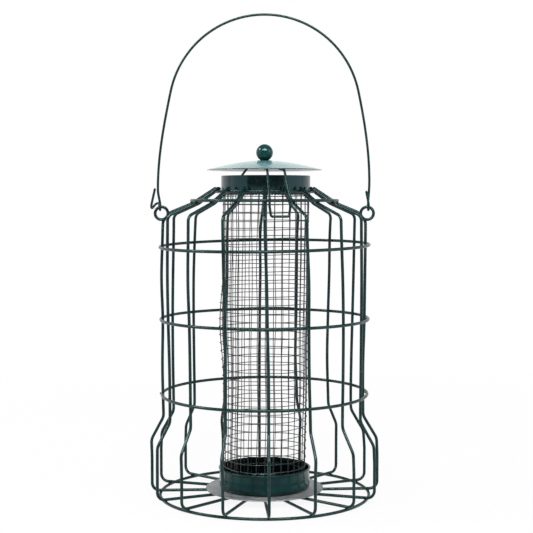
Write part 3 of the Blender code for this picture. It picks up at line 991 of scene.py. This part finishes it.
    def welds(self) -> list[tuple[Vector, Vector]]:
        """Find the places of the welds.

        Returns:
            The middle of each weld, with the direction from one wire to the other.
        """
        half = self.touch / 2
        sine, cosine = math.sin(self.slope), math.cos(self.slope)
        tip_radius = self.tip()[0] + cosine * self.tip_lap - sine * half
        tip_height = self.tip()[1] - sine * self.tip_lap - cosine * half
        found = []
        for index in range(self.ribs):
            azimuth = math.tau * index / self.ribs
            heights = [self.hoop_height(hoop, azimuth) for hoop in range(len(self.hoop_tilt_mm))]
            rows = [
                *((self.radius + half, height, (1.0, 0.0)) for height in heights),
                (self.shoulder_ring_radius, self.kink()[1] + half, (0.0, 1.0)),
                (tip_radius, tip_height, (sine, cosine)),
                (self.base_ring_radius, self.spoke_height - half, (0.0, 1.0)),
            ]
            for radius, height, along in rows:
                spot = self.settled(index, on_cage(azimuth, radius, height))
                found.append((spot, on_cage(azimuth, *along)))
        return found

    def build(self) -> None:
        """Make the ribs, the rings and the weld beads."""
        welds = self.welds()
        tree = kdtree.KDTree(len(welds))
        for index, (spot, _) in enumerate(welds):
            tree.insert(spot, index)
        tree.balance()

        def near(point: Vector) -> float:
            """How close a point is to its nearest weld."""
            return 1 - tree.find(point)[2] / (CAGE_WIRE * 2)

        quarter = self.ribs // 4
        for index in range(self.ribs):
            if index in (quarter, self.ribs - quarter):
                route = self.eye_route(math.tau * index / self.ribs)
            else:
                route = self.rib_route(index)
            route = [self.settled(index, point) for point in evened(route, self.rib_span)]
            former = Former(f"rib_wire_{index + 1:02d}").wire(route, CAGE_COATED)
            former.make(WIRE_COAT, Body.CAGE, [f"cage_rib_{index + 1:02d}"], pool_and_shade=near)
        shoulder = self.kink()[1] + self.touch
        rings: list[tuple[str, float, Callable[[float], float]]] = [
            ("top_ring", self.top_ring_radius, lambda azimuth: self.top_ring_height),
            ("shoulder_ring", self.shoulder_ring_radius, lambda azimuth: shoulder),
            ("base_ring", self.base_ring_radius, lambda azimuth: CAGE_COATED / 2),
        ]
        for hoop, name in enumerate(("lower_hoop", "middle_hoop", "upper_hoop")):
            radius = self.radius + self.touch - self.pull(self.hoop_base + self.hoop_spacing * hoop)
            rings.append((name, radius, partial(self.hoop_height, hoop)))
        turns = [math.tau * step / self.ring_steps for step in range(self.ring_steps)]
        for name, radius, height in rings:
            route = [on_cage(azimuth, radius, height(azimuth)) for azimuth in turns]
            former = Former(f"{name}_wire").wire(route, CAGE_COATED, self.ring_sides, closed=True)
            former.make(WIRE_COAT, Body.CAGE, [name], pool_and_shade=near)
        beads = Former("weld_beads")
        for spot, along in welds:
            half = along * self.bead_reach
            beads.wire([spot - half, spot + half], self.bead_width, self.bead_sides)
        beads.make(WIRE_COAT, Body.CAGE, pool_and_shade=near)


@dataclass
class SeedTube:
    """The seed tube: welded wire mesh rolled up with a lapped seam that has sprung at mid height."""

    radius: float = 0.0333
    taper: float = 0.0012
    lean: float = 0.0009
    wire: float = 0.00062
    pitch: float = 0.00635
    cells: float = 32.6
    lap_cells: int = 3
    foot: float = 0.0072
    top: float = 0.2476
    seam: float = math.radians(-60)
    lap_lift: float = 0.0005
    lap_ramp: float = 0.35
    bulge: float = 0.0009
    wave: float = 0.0016
    # The noise that waves the sheet: its spread round the tube and up each metre, and each kind's start
    waves: Pair = (1.3, 18.0)
    sway_start: Triple = (7.1, 3.3, 1.7)
    sag_start: Triple = (2.2, 8.4, 5.9)
    sag_size: float = 0.9
    sag_share: float = 0.6
    held: float = 0.010
    spring: float = 0.0026
    spring_turn: float = math.radians(335)
    spring_width: float = math.radians(24)
    spring_height: float = 0.135
    spring_reach: float = 0.032
    column_step: float = 0.0032
    weld_share: float = 0.42
    top_share: float = 0.25
    wire_sides: int = 6

    def shape(self, turn: float, height: float, lift: float) -> Vector:
        """Where a mesh point lies once the sheet's taper, waves and sprung seam are added.

        Args:
            turn: Angle from the seam, along the sheet.
            height: Height on the flat sheet.
            lift: Distance outside the sheet's middle.

        Returns:
            The point.
        """
        azimuth = self.seam + turn
        ends = min(1.0, (height - self.foot) / self.held, (self.top - height) / self.held)
        free = max(0.0, ends)
        rise = (height - self.foot) / (self.top - self.foot)
        around, up_each = self.waves
        spot = Vector((around * math.sin(azimuth), around * math.cos(azimuth), height * up_each))
        swell = noise.noise(spot) * self.bulge * free
        sway = noise.noise(spot + Vector(self.sway_start)) * self.wave * free / self.radius
        sag = noise.noise(spot * self.sag_size + Vector(self.sag_start)) * self.wave * free * self.sag_share
        along = (turn - self.spring_turn) / self.spring_width
        up = (height - self.spring_height) / self.spring_reach
        sprung = self.spring * math.exp(-along * along - up * up)
        lapped = self.lap_lift * max(0.0, min(1.0, (turn - math.tau) / self.lap_ramp + 1))
        reach = self.radius - self.taper * (1 - rise) + swell + sprung + lapped + lift
        return on_cage(azimuth + sway, reach, height + sag) + Vector((self.lean * rise, 0, 0))

    def build(self) -> None:
        """Make the upright wires and the level ones."""
        former = Former("seed_mesh")
        half = self.wire * self.weld_share
        count = math.ceil((self.top - self.foot) / self.column_step)
        heights = [self.foot + (self.top - self.foot) * step / count for step in range(count + 1)]
        spacing = math.tau / self.cells
        columns = math.floor(self.cells) + self.lap_cells
        for column in range(columns):
            route = [self.shape(spacing * (column + 0.5), height, -half) for height in heights]
            former.wire(route, self.wire, self.wire_sides, end=End.SHEARED)
        rows = math.floor((self.top - self.foot) / self.pitch)
        for row in range(rows):
            height = self.top - self.pitch * (row + self.top_share)
            route = [self.shape(spacing * step / 2, height, half) for step in range(columns * 2 + 1)]
            former.wire(route, self.wire, self.wire_sides, end=End.SHEARED)
        former.make(MESH_COAT, Body.CAGE, ["mesh_tube"], crease=60)


@dataclass
class Collar:
    """The sheet-metal collar: a rolled strip with a lapped seam and a notched lower edge."""

    radius: float = 0.0345
    wall: float = 0.0005
    foot: float = 0.2350
    height: float = 0.0140
    sides: int = 336
    notches: int = 84
    notch_depth: float = 0.0009
    notch_start: float = 0.45
    seam: float = math.radians(-53)
    seam_lap: float = math.radians(9)
    seam_step: float = 0.00022
    lip: float = 0.0002
    shift: float = 0.0009

    def shape(self, azimuth: float, radius: float, height: float) -> Pair:
        """Add the seam's step and the lower edge's notches.

        Args:
            azimuth: Angle from the front.
            radius: The plain collar's radius.
            height: The plain collar's height.

        Returns:
            The new radius and height.
        """
        past = (azimuth - self.seam) % math.tau
        if past < self.seam_lap:
            radius -= self.seam_step * (1 - past / self.seam_lap)
        if height < self.foot + self.lip * 2:
            notched = abs((azimuth * self.notches / math.tau) % 1 - 0.5) * 2 > self.notch_start
            height -= self.notch_depth * notched
            radius -= self.seam_step * notched
        return radius, height

    def build(self) -> None:
        """Make the collar."""
        top = self.foot + self.height
        inner = self.radius - self.wall
        edge = self.wall / 4
        profile = [
            (self.radius - edge, top),
            (self.radius, top - edge),
            (self.radius, top - self.height / 2),
            (self.radius, self.foot + self.lip * 4),
            (self.radius, self.foot + self.lip),
            (inner, self.foot + self.lip),
            (inner, self.foot + self.lip * 4),
            (inner, top - edge),
            (inner + edge, top),
        ]
        former = Former("collar_sheet").turned(profile, self.sides, self.shape, (self.shift, 0.0))
        former.make(COLLAR_PAINT, Body.CAGE, ["top_collar"], crease=35)


@dataclass(frozen=True)
class Thread:
    """The small screw thread of the cup and the knob, with the hole and the hexagon nut that fit it."""

    radius: float = 0.0015
    hole: float = 0.0018
    pitch: float = 0.0005
    rings_a_turn: int = 5
    tail: float = 0.0006
    flats: float = 0.0055
    nut_height: float = 0.0024
    nut_face: float = 0.96
    nut_chamfer: float = 0.6
    nut_sides: int = 48

    def punched(self, radius: float, top: float, wall: float, edge: float) -> list[Pair]:
        """Section of a flat disc with the thread's hole in it.

        Args:
            radius: The disc's radius.
            top: Height of its upper face.
            wall: Its thickness.
            edge: How far its outer edges are broken.

        Returns:
            The section's points.
        """
        foot = top - wall
        rim = [(radius - edge, top), (radius, top - edge), (radius, foot + edge), (radius - edge, foot)]
        return [*rim, (self.hole, foot), (self.hole, top)]

    def nut(self, name: str, top: float) -> Former:
        """A chamfered hexagon nut.

        Args:
            name: The piece's name.
            top: Height of its upper face.

        Returns:
            The former, ready to make.
        """
        half = self.flats / 2
        sixth = math.pi / 3
        corner = half / math.cos(sixth / 2)
        drop = (corner - half) * self.nut_chamfer
        foot = top - self.nut_height
        face = half * self.nut_face

        def hexed(azimuth: float, radius: float, level: float) -> Pair:
            """Hold the outside to the hexagon's flats."""
            within = (azimuth + sixth / 2) % sixth - sixth / 2
            return min(radius, half / math.cos(within)), level

        rim = [(face, top), (corner, top - drop), (corner, foot + drop), (face, foot)]
        return Former(name).turned([*rim, (self.hole, foot), (self.hole, top)], self.nut_sides, hexed)

    def shank(self, top: float, nut_top: float) -> tuple[list[Pair], Shape]:
        """A threaded shank that points down and ends a little under its nut.

        Args:
            top: Height at which the shank starts.
            nut_top: Height of the nut's upper face.

        Returns:
            Its profile down to the axis, and the shape that winds the thread into it.
        """
        end = nut_top - self.nut_height - self.tail
        depth = self.pitch / 2
        count = math.ceil((top - end) / self.pitch * self.rings_a_turn)
        profile = [(self.radius, top + (end - top) * step / count) for step in range(count + 1)]
        profile += [(self.radius - depth, end - depth / 2), (0.0, end - depth / 2)]

        def wound(azimuth: float, reach: float, height: float) -> Pair:
            """Cut the thread where the profile is the shank."""
            cut = reach <= self.radius + MERGE_SPAN and end <= height < top
            return reach - cut * depth * abs((height / self.pitch + azimuth / math.tau) % 1 - 0.5) * 2, height

        return profile, wound


THREAD = Thread()


@dataclass
class Base:
    """The bottom: base plate, pressed cup, and the screw, washer and nut through both."""

    plate_radius: float = 0.0459
    plate_foot: float = 0.0050
    plate_wall: float = 0.0008
    cup_radius: float = 0.0353
    cup_height: float = 0.0160
    cup_wall: float = 0.0005
    cup_corner: float = 0.0024
    in_cup_share: float = 0.6
    corner_steps: int = 6
    rim_roll: float = 0.0005
    head_radius: float = 0.0028
    head_height: float = 0.0018
    head_dome: float = 0.65
    dome_steps: int = 8
    slot_width: float = 0.0007
    slot_depth: float = 0.0009
    washer_radius: float = 0.0035
    washer_wall: float = 0.0005
    sheet_sides: int = 128
    screw_sides: int = 48

    @property
    def cup_foot(self) -> float:
        """Height of the cup's underside."""
        return self.plate_foot + self.plate_wall + FIT_GAP

    def build(self) -> None:
        """Make the plate, the cup and the fasteners."""
        plate_top = self.plate_foot + self.plate_wall
        plate = THREAD.punched(self.plate_radius, plate_top, self.plate_wall, self.plate_wall / 3)
        former = Former("base_sheet").turned(plate, self.sheet_sides)
        former.make(PLATE_ZINC, Body.CAGE, ["base_plate"], crease=50)
        former = Former("cup_pressing").turned(self.cup_profile(), self.sheet_sides)
        former.make(CUP_ENAMEL, Body.CAGE, ["seed_cup"], crease=50, pool_and_shade=self.in_cup)
        washer_top = self.plate_foot - FIT_GAP
        nut_top = washer_top - self.washer_wall - FIT_GAP
        self.screw(self.cup_foot + self.cup_wall + FIT_GAP, nut_top)
        washer = THREAD.punched(self.washer_radius, washer_top, self.washer_wall, self.washer_wall / 4)
        former = Former("washer_disc").turned(washer, self.screw_sides)
        former.make(SCREW_ZINC, Body.CAGE, ["cup_washer"], crease=30)
        THREAD.nut("cup_nut_hex", nut_top).make(SCREW_ZINC, Body.CAGE, ["cup_nut"], crease=25)

    def in_cup(self, point: Vector) -> float:
        """1 for a point on the cup's inner faces, where painted shade darkens the paint; 0 elsewhere."""
        within = math.hypot(point.x, point.y) < self.cup_radius - self.cup_wall * self.in_cup_share
        return float(within and point.z > self.cup_foot + self.cup_wall / 2)

    def cup_profile(self) -> list[Pair]:
        """Section of the cup: a rolled rim, a wall, a rounded foot and the floor.

        Returns:
            The section's points.
        """
        wall = self.cup_wall
        roll = self.rim_roll
        rim = self.cup_foot + self.cup_height - roll
        middle = self.cup_foot + self.cup_height / 2
        corner = (self.cup_radius - self.cup_corner, self.cup_foot + self.cup_corner)
        inner = self.cup_corner - wall
        rolled = (self.cup_radius + (roll - wall) / 2, rim), (roll + wall / 2, roll)
        return [
            *arc(*rolled, math.pi, 0.0, self.corner_steps),
            (self.cup_radius + roll, rim - roll),
            (self.cup_radius, rim - roll * 2),
            (self.cup_radius, middle),
            *arc(corner, (self.cup_corner, self.cup_corner), 0.0, -QUARTER, self.corner_steps),
            (THREAD.hole, self.cup_foot),
            (THREAD.hole, self.cup_foot + wall),
            *arc(corner, (inner, inner), -QUARTER, 0.0, self.corner_steps),
            (self.cup_radius - wall, middle),
        ]

    def screw(self, seat: float, nut_top: float) -> None:
        """Make the slotted screw.

        Args:
            seat: Height of the head's underside.
            nut_top: Height of its nut's upper face.
        """
        top = seat + self.head_height
        dome = self.head_height * self.head_dome
        head = arc((0.0, top - dome), (self.head_radius, dome), QUARTER, 0.0, self.dome_steps)
        shank, wound = THREAD.shank(seat, nut_top)
        former = Former("cup_screw_head")
        former.turned([*head, (self.head_radius, seat), *shank], self.screw_sides, wound)
        obj = former.make(SCREW_ZINC, Body.CAGE, ["cup_screw"], crease=35)
        corners = [
            Vector((x * self.head_radius * 2, y * self.slot_width / 2, top + z * self.slot_depth))
            for z in (-1, 1)
            for y in (-1, 1)
            for x in (-1, 1)
        ]
        faces = [(2, 3, 1, 0), (4, 5, 7, 6), (0, 1, 5, 4), (6, 7, 3, 2), (4, 6, 2, 0), (1, 3, 7, 5)]
        block = bpy.data.meshes.new("driver_slot")
        block.from_pydata(corners, [], faces)
        cutter = linked("driver_slot", block)
        cut = obj.modifiers.new("slot", "BOOLEAN")
        cut.operation = "DIFFERENCE"
        cut.object = cutter
        bpy.context.view_layer.update()
        done = bpy.data.meshes.new_from_object(obj.evaluated_get(bpy.context.evaluated_depsgraph_get()))
        obj.modifiers.clear()
        obj.data = done
        bpy.data.objects.remove(cutter)


@dataclass
class Lid:
    """The domed lid with its knob, dished seat, nut and the wire clip that holds it shut."""

    radius: float = 0.0447
    rim: float = 0.2538
    rise: float = 0.0070
    dimple_radius: float = 0.0085
    dimple_depth: float = 0.0014
    dimple_rings: int = 10
    dome_power: float = 1.2
    dome_rings: int = 22
    wall: float = 0.0006
    nose_share: float = 0.15
    hem: float = 0.0016
    sides: int = 144
    knob_radius: float = 0.0064
    knob_coat: float = 0.00015
    knob_rings: int = 36
    knob_sides: int = 64
    dish_radius: float = 0.00605
    dish_wall: float = 0.0005
    dish_rings: int = 8
    stud_sides: int = 32
    rear_azimuth: float = math.radians(210)
    front_azimuth: float = math.radians(11.25)
    rim_half_width: float = 0.0064
    bend_half_width: float = 0.0078
    loop_half_width: float = 0.0067
    loop_depth: float = 0.0136
    kink: float = 0.0003
    kink_depth: float = 0.0060
    rim_inset: float = 0.0020
    clip_bend: float = 0.0025
    loop_bend: float = 0.0015
    clip_span: float = 0.004
    curl_sweep: float = math.radians(120)
    turn_step: float = 0.12
    collar_radius: float = 0.0345
    collar_top: float = 0.2490

    @property
    def top(self) -> float:
        """Height of the dimple's floor, where the knob's seat lies."""
        return self.rim + self.rise - self.dimple_depth

    @property
    def eye_height(self) -> float:
        """Height of the clip's wire under the dome."""
        return self.top - self.wall - FIT_GAP - TRIM_WIRE / 2

    def dome(self, radius: float) -> float:
        """Height of the lid's upper face, with the dimple pressed into its middle.

        Args:
            radius: Distance from the axis.

        Returns:
            The height.
        """
        floor = self.dish_radius / 2
        share = max(0.0, min(1.0, (radius - floor) / (self.dimple_radius - floor)))
        dip = self.dimple_depth * (1 - share * share * (3 - 2 * share))
        inward = max(0.0, 1 - (radius / self.radius) ** 2)
        return self.rim + self.rise * inward**self.dome_power - dip

    def under_dome(self, radius: float) -> float:
        """Height of the clip's wire where it runs along the lid's underside."""
        return self.dome(radius) - self.wall - TRIM_WIRE / 2 - FIT_GAP

    def front_point(self, along: float, side: float, height: float) -> Vector:
        """A point in the clip's own frame."""
        return on_cage(self.front_azimuth, along, height, side)

    def build(self, cage: Cage) -> None:
        """Make the lid's pieces.

        Args:
            cage: The cage that the clip hooks on.
        """
        former = Former("lid_sheet").turned(self.sheet_profile(), self.sides)
        former.make(LID_PAINT_SHEEN_AND_SHADE, Body.LID, ["lid"], crease=60, pool_and_shade=self.on_hem)
        self.build_knob()
        nut_top = self.eye_height - TRIM_WIRE / 2 - FIT_GAP
        THREAD.nut("lid_nut_hex", nut_top).make(SCREW_ZINC, Body.LID, ["lid_nut"], crease=25)
        seat = self.top + FIT_GAP
        shank, wound = THREAD.shank(seat, nut_top)
        former = Former("knob_stud").turned([(0.0, seat), *shank], self.stud_sides, wound)
        former.make(SCREW_ZINC, Body.LID, ["knob"], crease=60)
        Former("clip_wire").wire(self.clip_route(cage), TRIM_COATED).make(WIRE_COAT, Body.LID, ["lid_clip"])

    def sheet_profile(self) -> list[Pair]:
        """Section of the lid: its upper face outwards, its rounded edge and its underside back in.

        Returns:
            The section's points.
        """
        inner = (self.dimple_radius - THREAD.hole) / self.dimple_rings
        outer = (self.radius - self.wall / 2 - self.dimple_radius) / self.dome_rings
        radii = [THREAD.hole + inner * step for step in range(self.dimple_rings)]
        radii += [self.dimple_radius + outer * step for step in range(self.dome_rings + 1)]
        upper = [(radius, self.dome(radius)) for radius in radii]
        lower = [(radius, height - self.wall) for radius, height in reversed(upper)]
        middle = self.dome(self.radius) - self.wall / 2
        edge = self.wall * self.nose_share
        nose = [(edge, 2 * edge), (0.0, 0.0), (edge, -2 * edge)]
        return [*upper, *((self.radius - inset, middle + lift) for inset, lift in nose), *lower]

    def on_hem(self, point: Vector) -> float:
        """1 on the lid's thin edge, where painted shade darkens the paint, falling to 0 a little further in.
        """
        return max(0.0, 1 - (self.radius - math.hypot(point.x, point.y)) / self.hem) ** 3

    def build_knob(self) -> None:
        """Make the ball and the dished seat under it."""
        wall = self.dish_wall
        centre = (0.0, self.top + FIT_GAP * 2 + wall + self.knob_radius)
        size = self.knob_radius + self.knob_coat
        last = math.asin(THREAD.hole / self.knob_radius) - QUARTER
        ball = arc(centre, (size, size), QUARTER, last, self.knob_rings)
        former = Former("knob_ball").turned([*ball, (0.0, ball[-1][1])], self.knob_sides)
        former.make(KNOB_ENAMEL, Body.LID, ["knob"], crease=60)
        radii = [self.dish_radius * (1 - step / self.dish_rings / 2) for step in range(self.dish_rings + 1)]
        under = [(radius, self.dome(radius) + FIT_GAP) for radius in radii]
        under.append((THREAD.hole, under[-1][1]))
        under[0] = (self.dish_radius - wall / 4, under[0][1])
        over = [(radius, height + wall) for radius, height in reversed(under)]
        nose = [(self.dish_radius, under[0][1] + wall * share) for share in (0.75, 0.25)]
        former = Former("knob_seat").turned([*nose, *under, *over], self.knob_sides)
        former.make(SHADED_SEAT_ENAMEL, Body.LID, ["knob_dish"], crease=60)

    def clip_route(self, cage: Cage) -> list[Vector]:
        """Centre line of the clip: rear hook, arm, pull loop and the curl round the stud.

        Args:
            cage: The cage that it hooks on.

        Returns:
            The route's points.
        """
        reach = (CAGE_WIRE + TRIM_WIRE) / 2 + FIT_GAP
        clear = TRIM_WIRE / 2 + FIT_GAP
        count = math.ceil(3 * QUARTER / self.turn_step)
        rear = arc((cage.top_ring_radius, cage.top_ring_height), (reach, reach), QUARTER, -math.pi, count)
        rear.append((self.collar_radius + clear * 3 / 2, self.collar_top + clear))
        rear.append((self.collar_radius * 3 / 4, self.under_dome(self.collar_radius * 3 / 4)))
        hook = [on_cage(self.rear_azimuth, radius, height) for radius, height in rear]
        stud = THREAD.radius + clear
        rim = self.radius - self.rim_inset
        out = math.sqrt(cage.shoulder_ring_radius**2 - self.bend_half_width**2) + reach + FIT_GAP
        ring_height = cage.above_slope(cage.shoulder_ring_radius, cage.touch) + CAGE_WIRE / 4
        leg = [
            (rim, self.rim_half_width, self.under_dome(rim)),
            (out, self.bend_half_width, ring_height),
            (out - self.kink, self.bend_half_width, ring_height - self.kink_depth),
            (out, self.loop_half_width, ring_height - self.loop_depth),
        ]
        down, up = ([self.front_point(along, hand * side, z) for along, side, z in leg] for hand in (-1, 1))
        by_stud = self.front_point(0, -stud, self.eye_height)
        count = math.ceil(self.curl_sweep / self.turn_step)
        round_stud = arc((0.0, 0.0), (stud, stud), QUARTER, QUARTER + self.curl_sweep, count)
        curl = [self.front_point(along, side, self.eye_height) for along, side in round_stud]
        leg_bends = [self.clip_bend] * 3
        bends = [self.clip_bend, *leg_bends, self.loop_bend, self.loop_bend, *leg_bends]
        loop = bent([hook[-1], by_stud, *down, *reversed(up), curl[0]], bends)
        shoulder = bent([*hook[-3:], by_stud], [self.loop_bend, self.clip_bend])
        return evened([*hook[:-3], *shoulder[:-1], *loop[1:], *curl[1:]], self.clip_span)


@dataclass
class Handle:
    """The bail handle, hooked in the two eyelets."""

    height: float = 0.37264
    bend: float = 0.0740
    bend_half_angle: float = math.radians(78)
    spread: float = 0.0811
    spread_height: float = 0.0190
    hook_offsets: Pair = (0.0014, 0.0008)
    hook_end_height: float = 0.0130
    turn_step: float = 0.10
    # Each free end's points: outwards in eyelet radii, forwards in hook radii, upwards in hook heights
    right_shares: tuple[Triple, ...] = (
        (-0.35, -0.85, 0.90),
        (-0.15, -1.0, 0.50),
        (0.02, -1.0, 0.15),
    )
    left_shares: tuple[Triple, ...] = (
        (0.82, 0.0, 1.05),
        (1.05, 0.0, 0.66),
        (1.30, 0.0, 0.24),
        (1.38, 0.0, 0.02),
        (1.28, 0.0, -0.07),
        (1.06, 0.0, 0.0),
        (0.76, 0.0, 0.14),
        (0.36, -0.25, 0.23),
        (0.10, -0.88, 0.15),
    )
    left_widest: Pair = (0.0826, 0.0135)
    free_steps: int = 6
    leg_counts: tuple[int, int] = (17, 33)
    span: float = 0.006

    def hook(self, cage: Cage, hand: int, shares: Sequence[Triple]) -> list[Vector]:
        """Centre line from a hook's free end, round the eyelet's top wire and up to the arch.

        Args:
            cage: The cage whose eyelets it hangs in.
            hand: 1 for the right side, -1 for the left.
            shares: The free end's points, as shares of the hook's sizes.

        Returns:
            The route's points.
        """
        reach = (CAGE_WIRE + TRIM_WIRE) / 2 + SWING_GAP
        eye_out = cage.radius + cage.eye_offset
        pivot = cage.above_slope(eye_out, cage.eye_radius) + cage.eye_radius
        out = eye_out + self.hook_offsets[hand > 0]
        free = [
            Vector((out + across * cage.eye_radius, forward * reach, pivot + up * self.hook_end_height))
            for across, forward, up in shares
        ]
        under = arc((0.0, pivot), (reach, reach), math.pi, math.tau, math.ceil(math.pi / self.turn_step))
        turn = [Vector((out, y, z)) for y, z in under]
        spread, lift = (self.spread, self.spread_height) if hand > 0 else self.left_widest
        widest = Vector((spread, 0, pivot + lift))
        side = math.sin(self.bend_half_angle)
        up = math.cos(self.bend_half_angle)
        foot = Vector((self.bend * side, 0, self.height - self.bend + self.bend * up))
        pull = (foot.z - widest.z) / 3
        below = foot - Vector((up / side * -pull, 0, pull))
        rise = UP * lift / 3
        low, high = self.leg_counts
        leg = geometry.interpolate_bezier(turn[-1], turn[-1] + rise, widest - rise, widest, low)
        leg += geometry.interpolate_bezier(widest, widest + UP * pull, below, foot, high)[1:]
        route = [*through([*free, turn[0]], self.free_steps)[:-1], *turn, *leg[1:]]
        return [Vector((hand * point.x, point.y, point.z)) for point in route]

    def build(self, cage: Cage) -> None:
        """Make the handle.

        Args:
            cage: The cage that it hangs in.
        """
        right = self.hook(cage, 1, self.right_shares)
        left = self.hook(cage, -1, self.left_shares)
        count = math.ceil(4 * self.bend_half_angle / self.turn_step)
        first = QUARTER - self.bend_half_angle
        crown = arc((0.0, self.height - self.bend), (self.bend, self.bend), first, math.pi - first, count)
        arch = [Vector((x, 0, z)) for x, z in crown[1:-1]]
        route = evened([*right, *arch, *reversed(left)], self.span)
        Former("handle_wire").wire(route, TRIM_COATED).make(WIRE_COAT, Body.HANDLE, ["handle"])


@dataclass
class Studio:
    """Pale floor, soft lamps, a surround for mirrors and the camera."""

    camera_place: Triple = (0.0015, -0.952, 0.2303)
    camera_pitch: float = math.radians(3.1)
    lens: float = 82.87
    sensor: float = 36.0
    depth_range: Pair = (0.01, 50.0)
    floor_half: float = 6.0
    floor_tone: float = 0.8
    # How much of the floor's white comes without light, and where it starts and ends to be all of it
    floor_glow: float = 0.9
    glow_ring: Pair = (0.3, 0.6)
    # What mirrors find: a dark room in front, a dimmer ceiling and two bright soft boxes
    dark_half_angle: float = math.radians(48)
    dark_edge: float = 0.02
    dark: float = 0.05
    ceiling: float = 0.3
    ceiling_start: float = 0.3
    box_half_angle: float = math.radians(39)
    box_heights: Pair = (0.50, 0.70)
    box_edges: Pair = (0.03, 0.01)
    box_strength: float = 24.0
    ambient: float = 0.75
    # Each lamp's name, place, side and power in watts
    lamps: tuple[tuple[str, Triple, float, float], ...] = (
        ("high front lamp", (0.0, -0.95, 1.35), 0.45, 9.0),
        ("left lamp", (-1.35, -0.05, 1.20), 0.45, 8.1),
        ("right fill", (1.5, -0.6, 0.9), 0.9, 5.4),
    )
    lamp_aim: Triple = (0.0, 0.0, 0.2)

    def build(self) -> None:
        """Make the floor, the world, the lamps and the camera."""
        self.build_floor()
        self.build_world()
        for lamp in self.lamps:
            self.build_lamp(*lamp)
        self.build_camera()

    def build_floor(self) -> None:
        """Make the floor, which shows white and keeps a soft shadow."""
        half = self.floor_half
        mesh = bpy.data.meshes.new("floor")
        corners = [(-half, -half, 0), (half, -half, 0), (half, half, 0), (-half, half, 0)]
        mesh.from_pydata(corners, [], [(0, 1, 2, 3)])
        linked("floor", mesh)
        material = bpy.data.materials.new("pale floor")
        graph = Graph(material)
        away = graph.vector("LENGTH", graph.place, output="Value").above(*self.glow_ring)
        seen = self.seen(graph, "Camera", "Glossy", "Transmission")
        glow = seen * (self.floor_glow + (1 - self.floor_glow) * away)
        tone = (self.floor_tone,) * 3
        matt = graph.node("ShaderNodeBsdfDiffuse", inputs={"Color": (*tone, 1.0)})
        white = graph.node("ShaderNodeEmission", inputs={"Color": WHITE, "Strength": 1.0})
        shown = graph.node("ShaderNodeMixShader", inputs={0: glow, 1: matt, 2: white})
        graph.node("ShaderNodeOutputMaterial", inputs={"Surface": shown})
        mesh.materials.append(material)

    @staticmethod
    def seen(graph: Graph, *kinds: str) -> Socket:
        """1 for a ray of one of these kinds, 0 for the others."""
        rays = [graph.node("ShaderNodeLightPath", output=f"Is {kind} Ray") for kind in kinds]
        return sum(rays[1:], rays[0]).above(0.0, 0.5)

    def build_world(self) -> None:
        """Make the white surround, in which mirrors find a dark room in front and the two soft boxes."""
        world = bpy.data.worlds.new("studio")
        bpy.context.scene.world = world
        graph = Graph(world)
        heading = graph.node("ShaderNodeTexCoord", output="Generated")
        level = graph.vector("NORMALIZE", graph.vector("MULTIPLY", heading, (-1.0, -1.0, 0.0)))
        leftward = graph.part(level, "X")
        forward = graph.part(level, "Y")
        height = graph.part(heading, "Z")
        edge, side_edge = self.box_edges
        bottom, top = self.box_heights
        front_box = forward.above(math.cos(self.box_half_angle), edge)
        left_box = leftward.above(math.cos(self.box_half_angle / 4), side_edge)
        boxes = height.above(bottom, edge) * (1 - height.above(top, edge)) * (front_box + left_box)
        dark = forward.above(math.cos(self.dark_half_angle) - self.dark_edge, self.dark_edge * 2)
        high = height.above(self.ceiling_start, self.ceiling_start)

        def lit(strength: float) -> Socket:
            """White light of one strength."""
            return graph.node("ShaderNodeBackground", inputs={"Color": WHITE, "Strength": strength})

        def mixed(share: Socket, low: Socket, full: Socket) -> Socket:
            """Two lights mixed by a share."""
            return graph.node("ShaderNodeMixShader", inputs={0: share, 1: low, 2: full})

        room = mixed(dark, mixed(high, lit(1.0), lit(self.ceiling)), lit(self.dark))
        mirror = mixed(boxes, room, lit(self.box_strength))
        found = mixed(self.seen(graph, "Glossy"), lit(self.ambient), mirror)
        shown = mixed(self.seen(graph, "Camera", "Transmission"), found, lit(1.0))
        graph.node("ShaderNodeOutputWorld", inputs={"Surface": shown})

    def build_lamp(self, name: str, place: Triple, side: float, energy: float) -> None:
        """Add a square soft lamp that faces the feeder.

        Args:
            name: Its name.
            place: Where it hangs.
            side: How wide it is.
            energy: Its power in watts.
        """
        data = bpy.data.lights.new(name, "AREA")
        data.shape = "SQUARE"
        data.size = side
        data.energy = energy
        obj = linked(name, data)
        obj.location = place
        aim = Vector(self.lamp_aim) - obj.location
        obj.rotation_euler = aim.to_track_quat("-Z", "Y").to_euler()

    def build_camera(self) -> None:
        """Make the camera at the photograph's viewing angle."""
        data = bpy.data.cameras.new("camera")
        data.lens = self.lens
        data.sensor_width = self.sensor
        data.clip_start, data.clip_end = self.depth_range
        obj = linked("camera", data)
        obj.location = self.camera_place
        obj.rotation_euler = (QUARTER - self.camera_pitch, 0, 0)
        bpy.context.scene.camera = obj
        bpy.context.scene.view_settings.view_transform = "Standard"


def main() -> None:
    """Build the feeder's looks."""
    logging.basicConfig(level=logging.INFO, format="%(message)s")
    cage = Cage()
    cage.build()
    SeedTube().build()
    Collar().build()
    Base().build()
    Lid().build(cage)
    Handle().build(cage)
    Studio().build()
    bpy.context.view_layer.update()


if __name__ == "__main__":
    main()
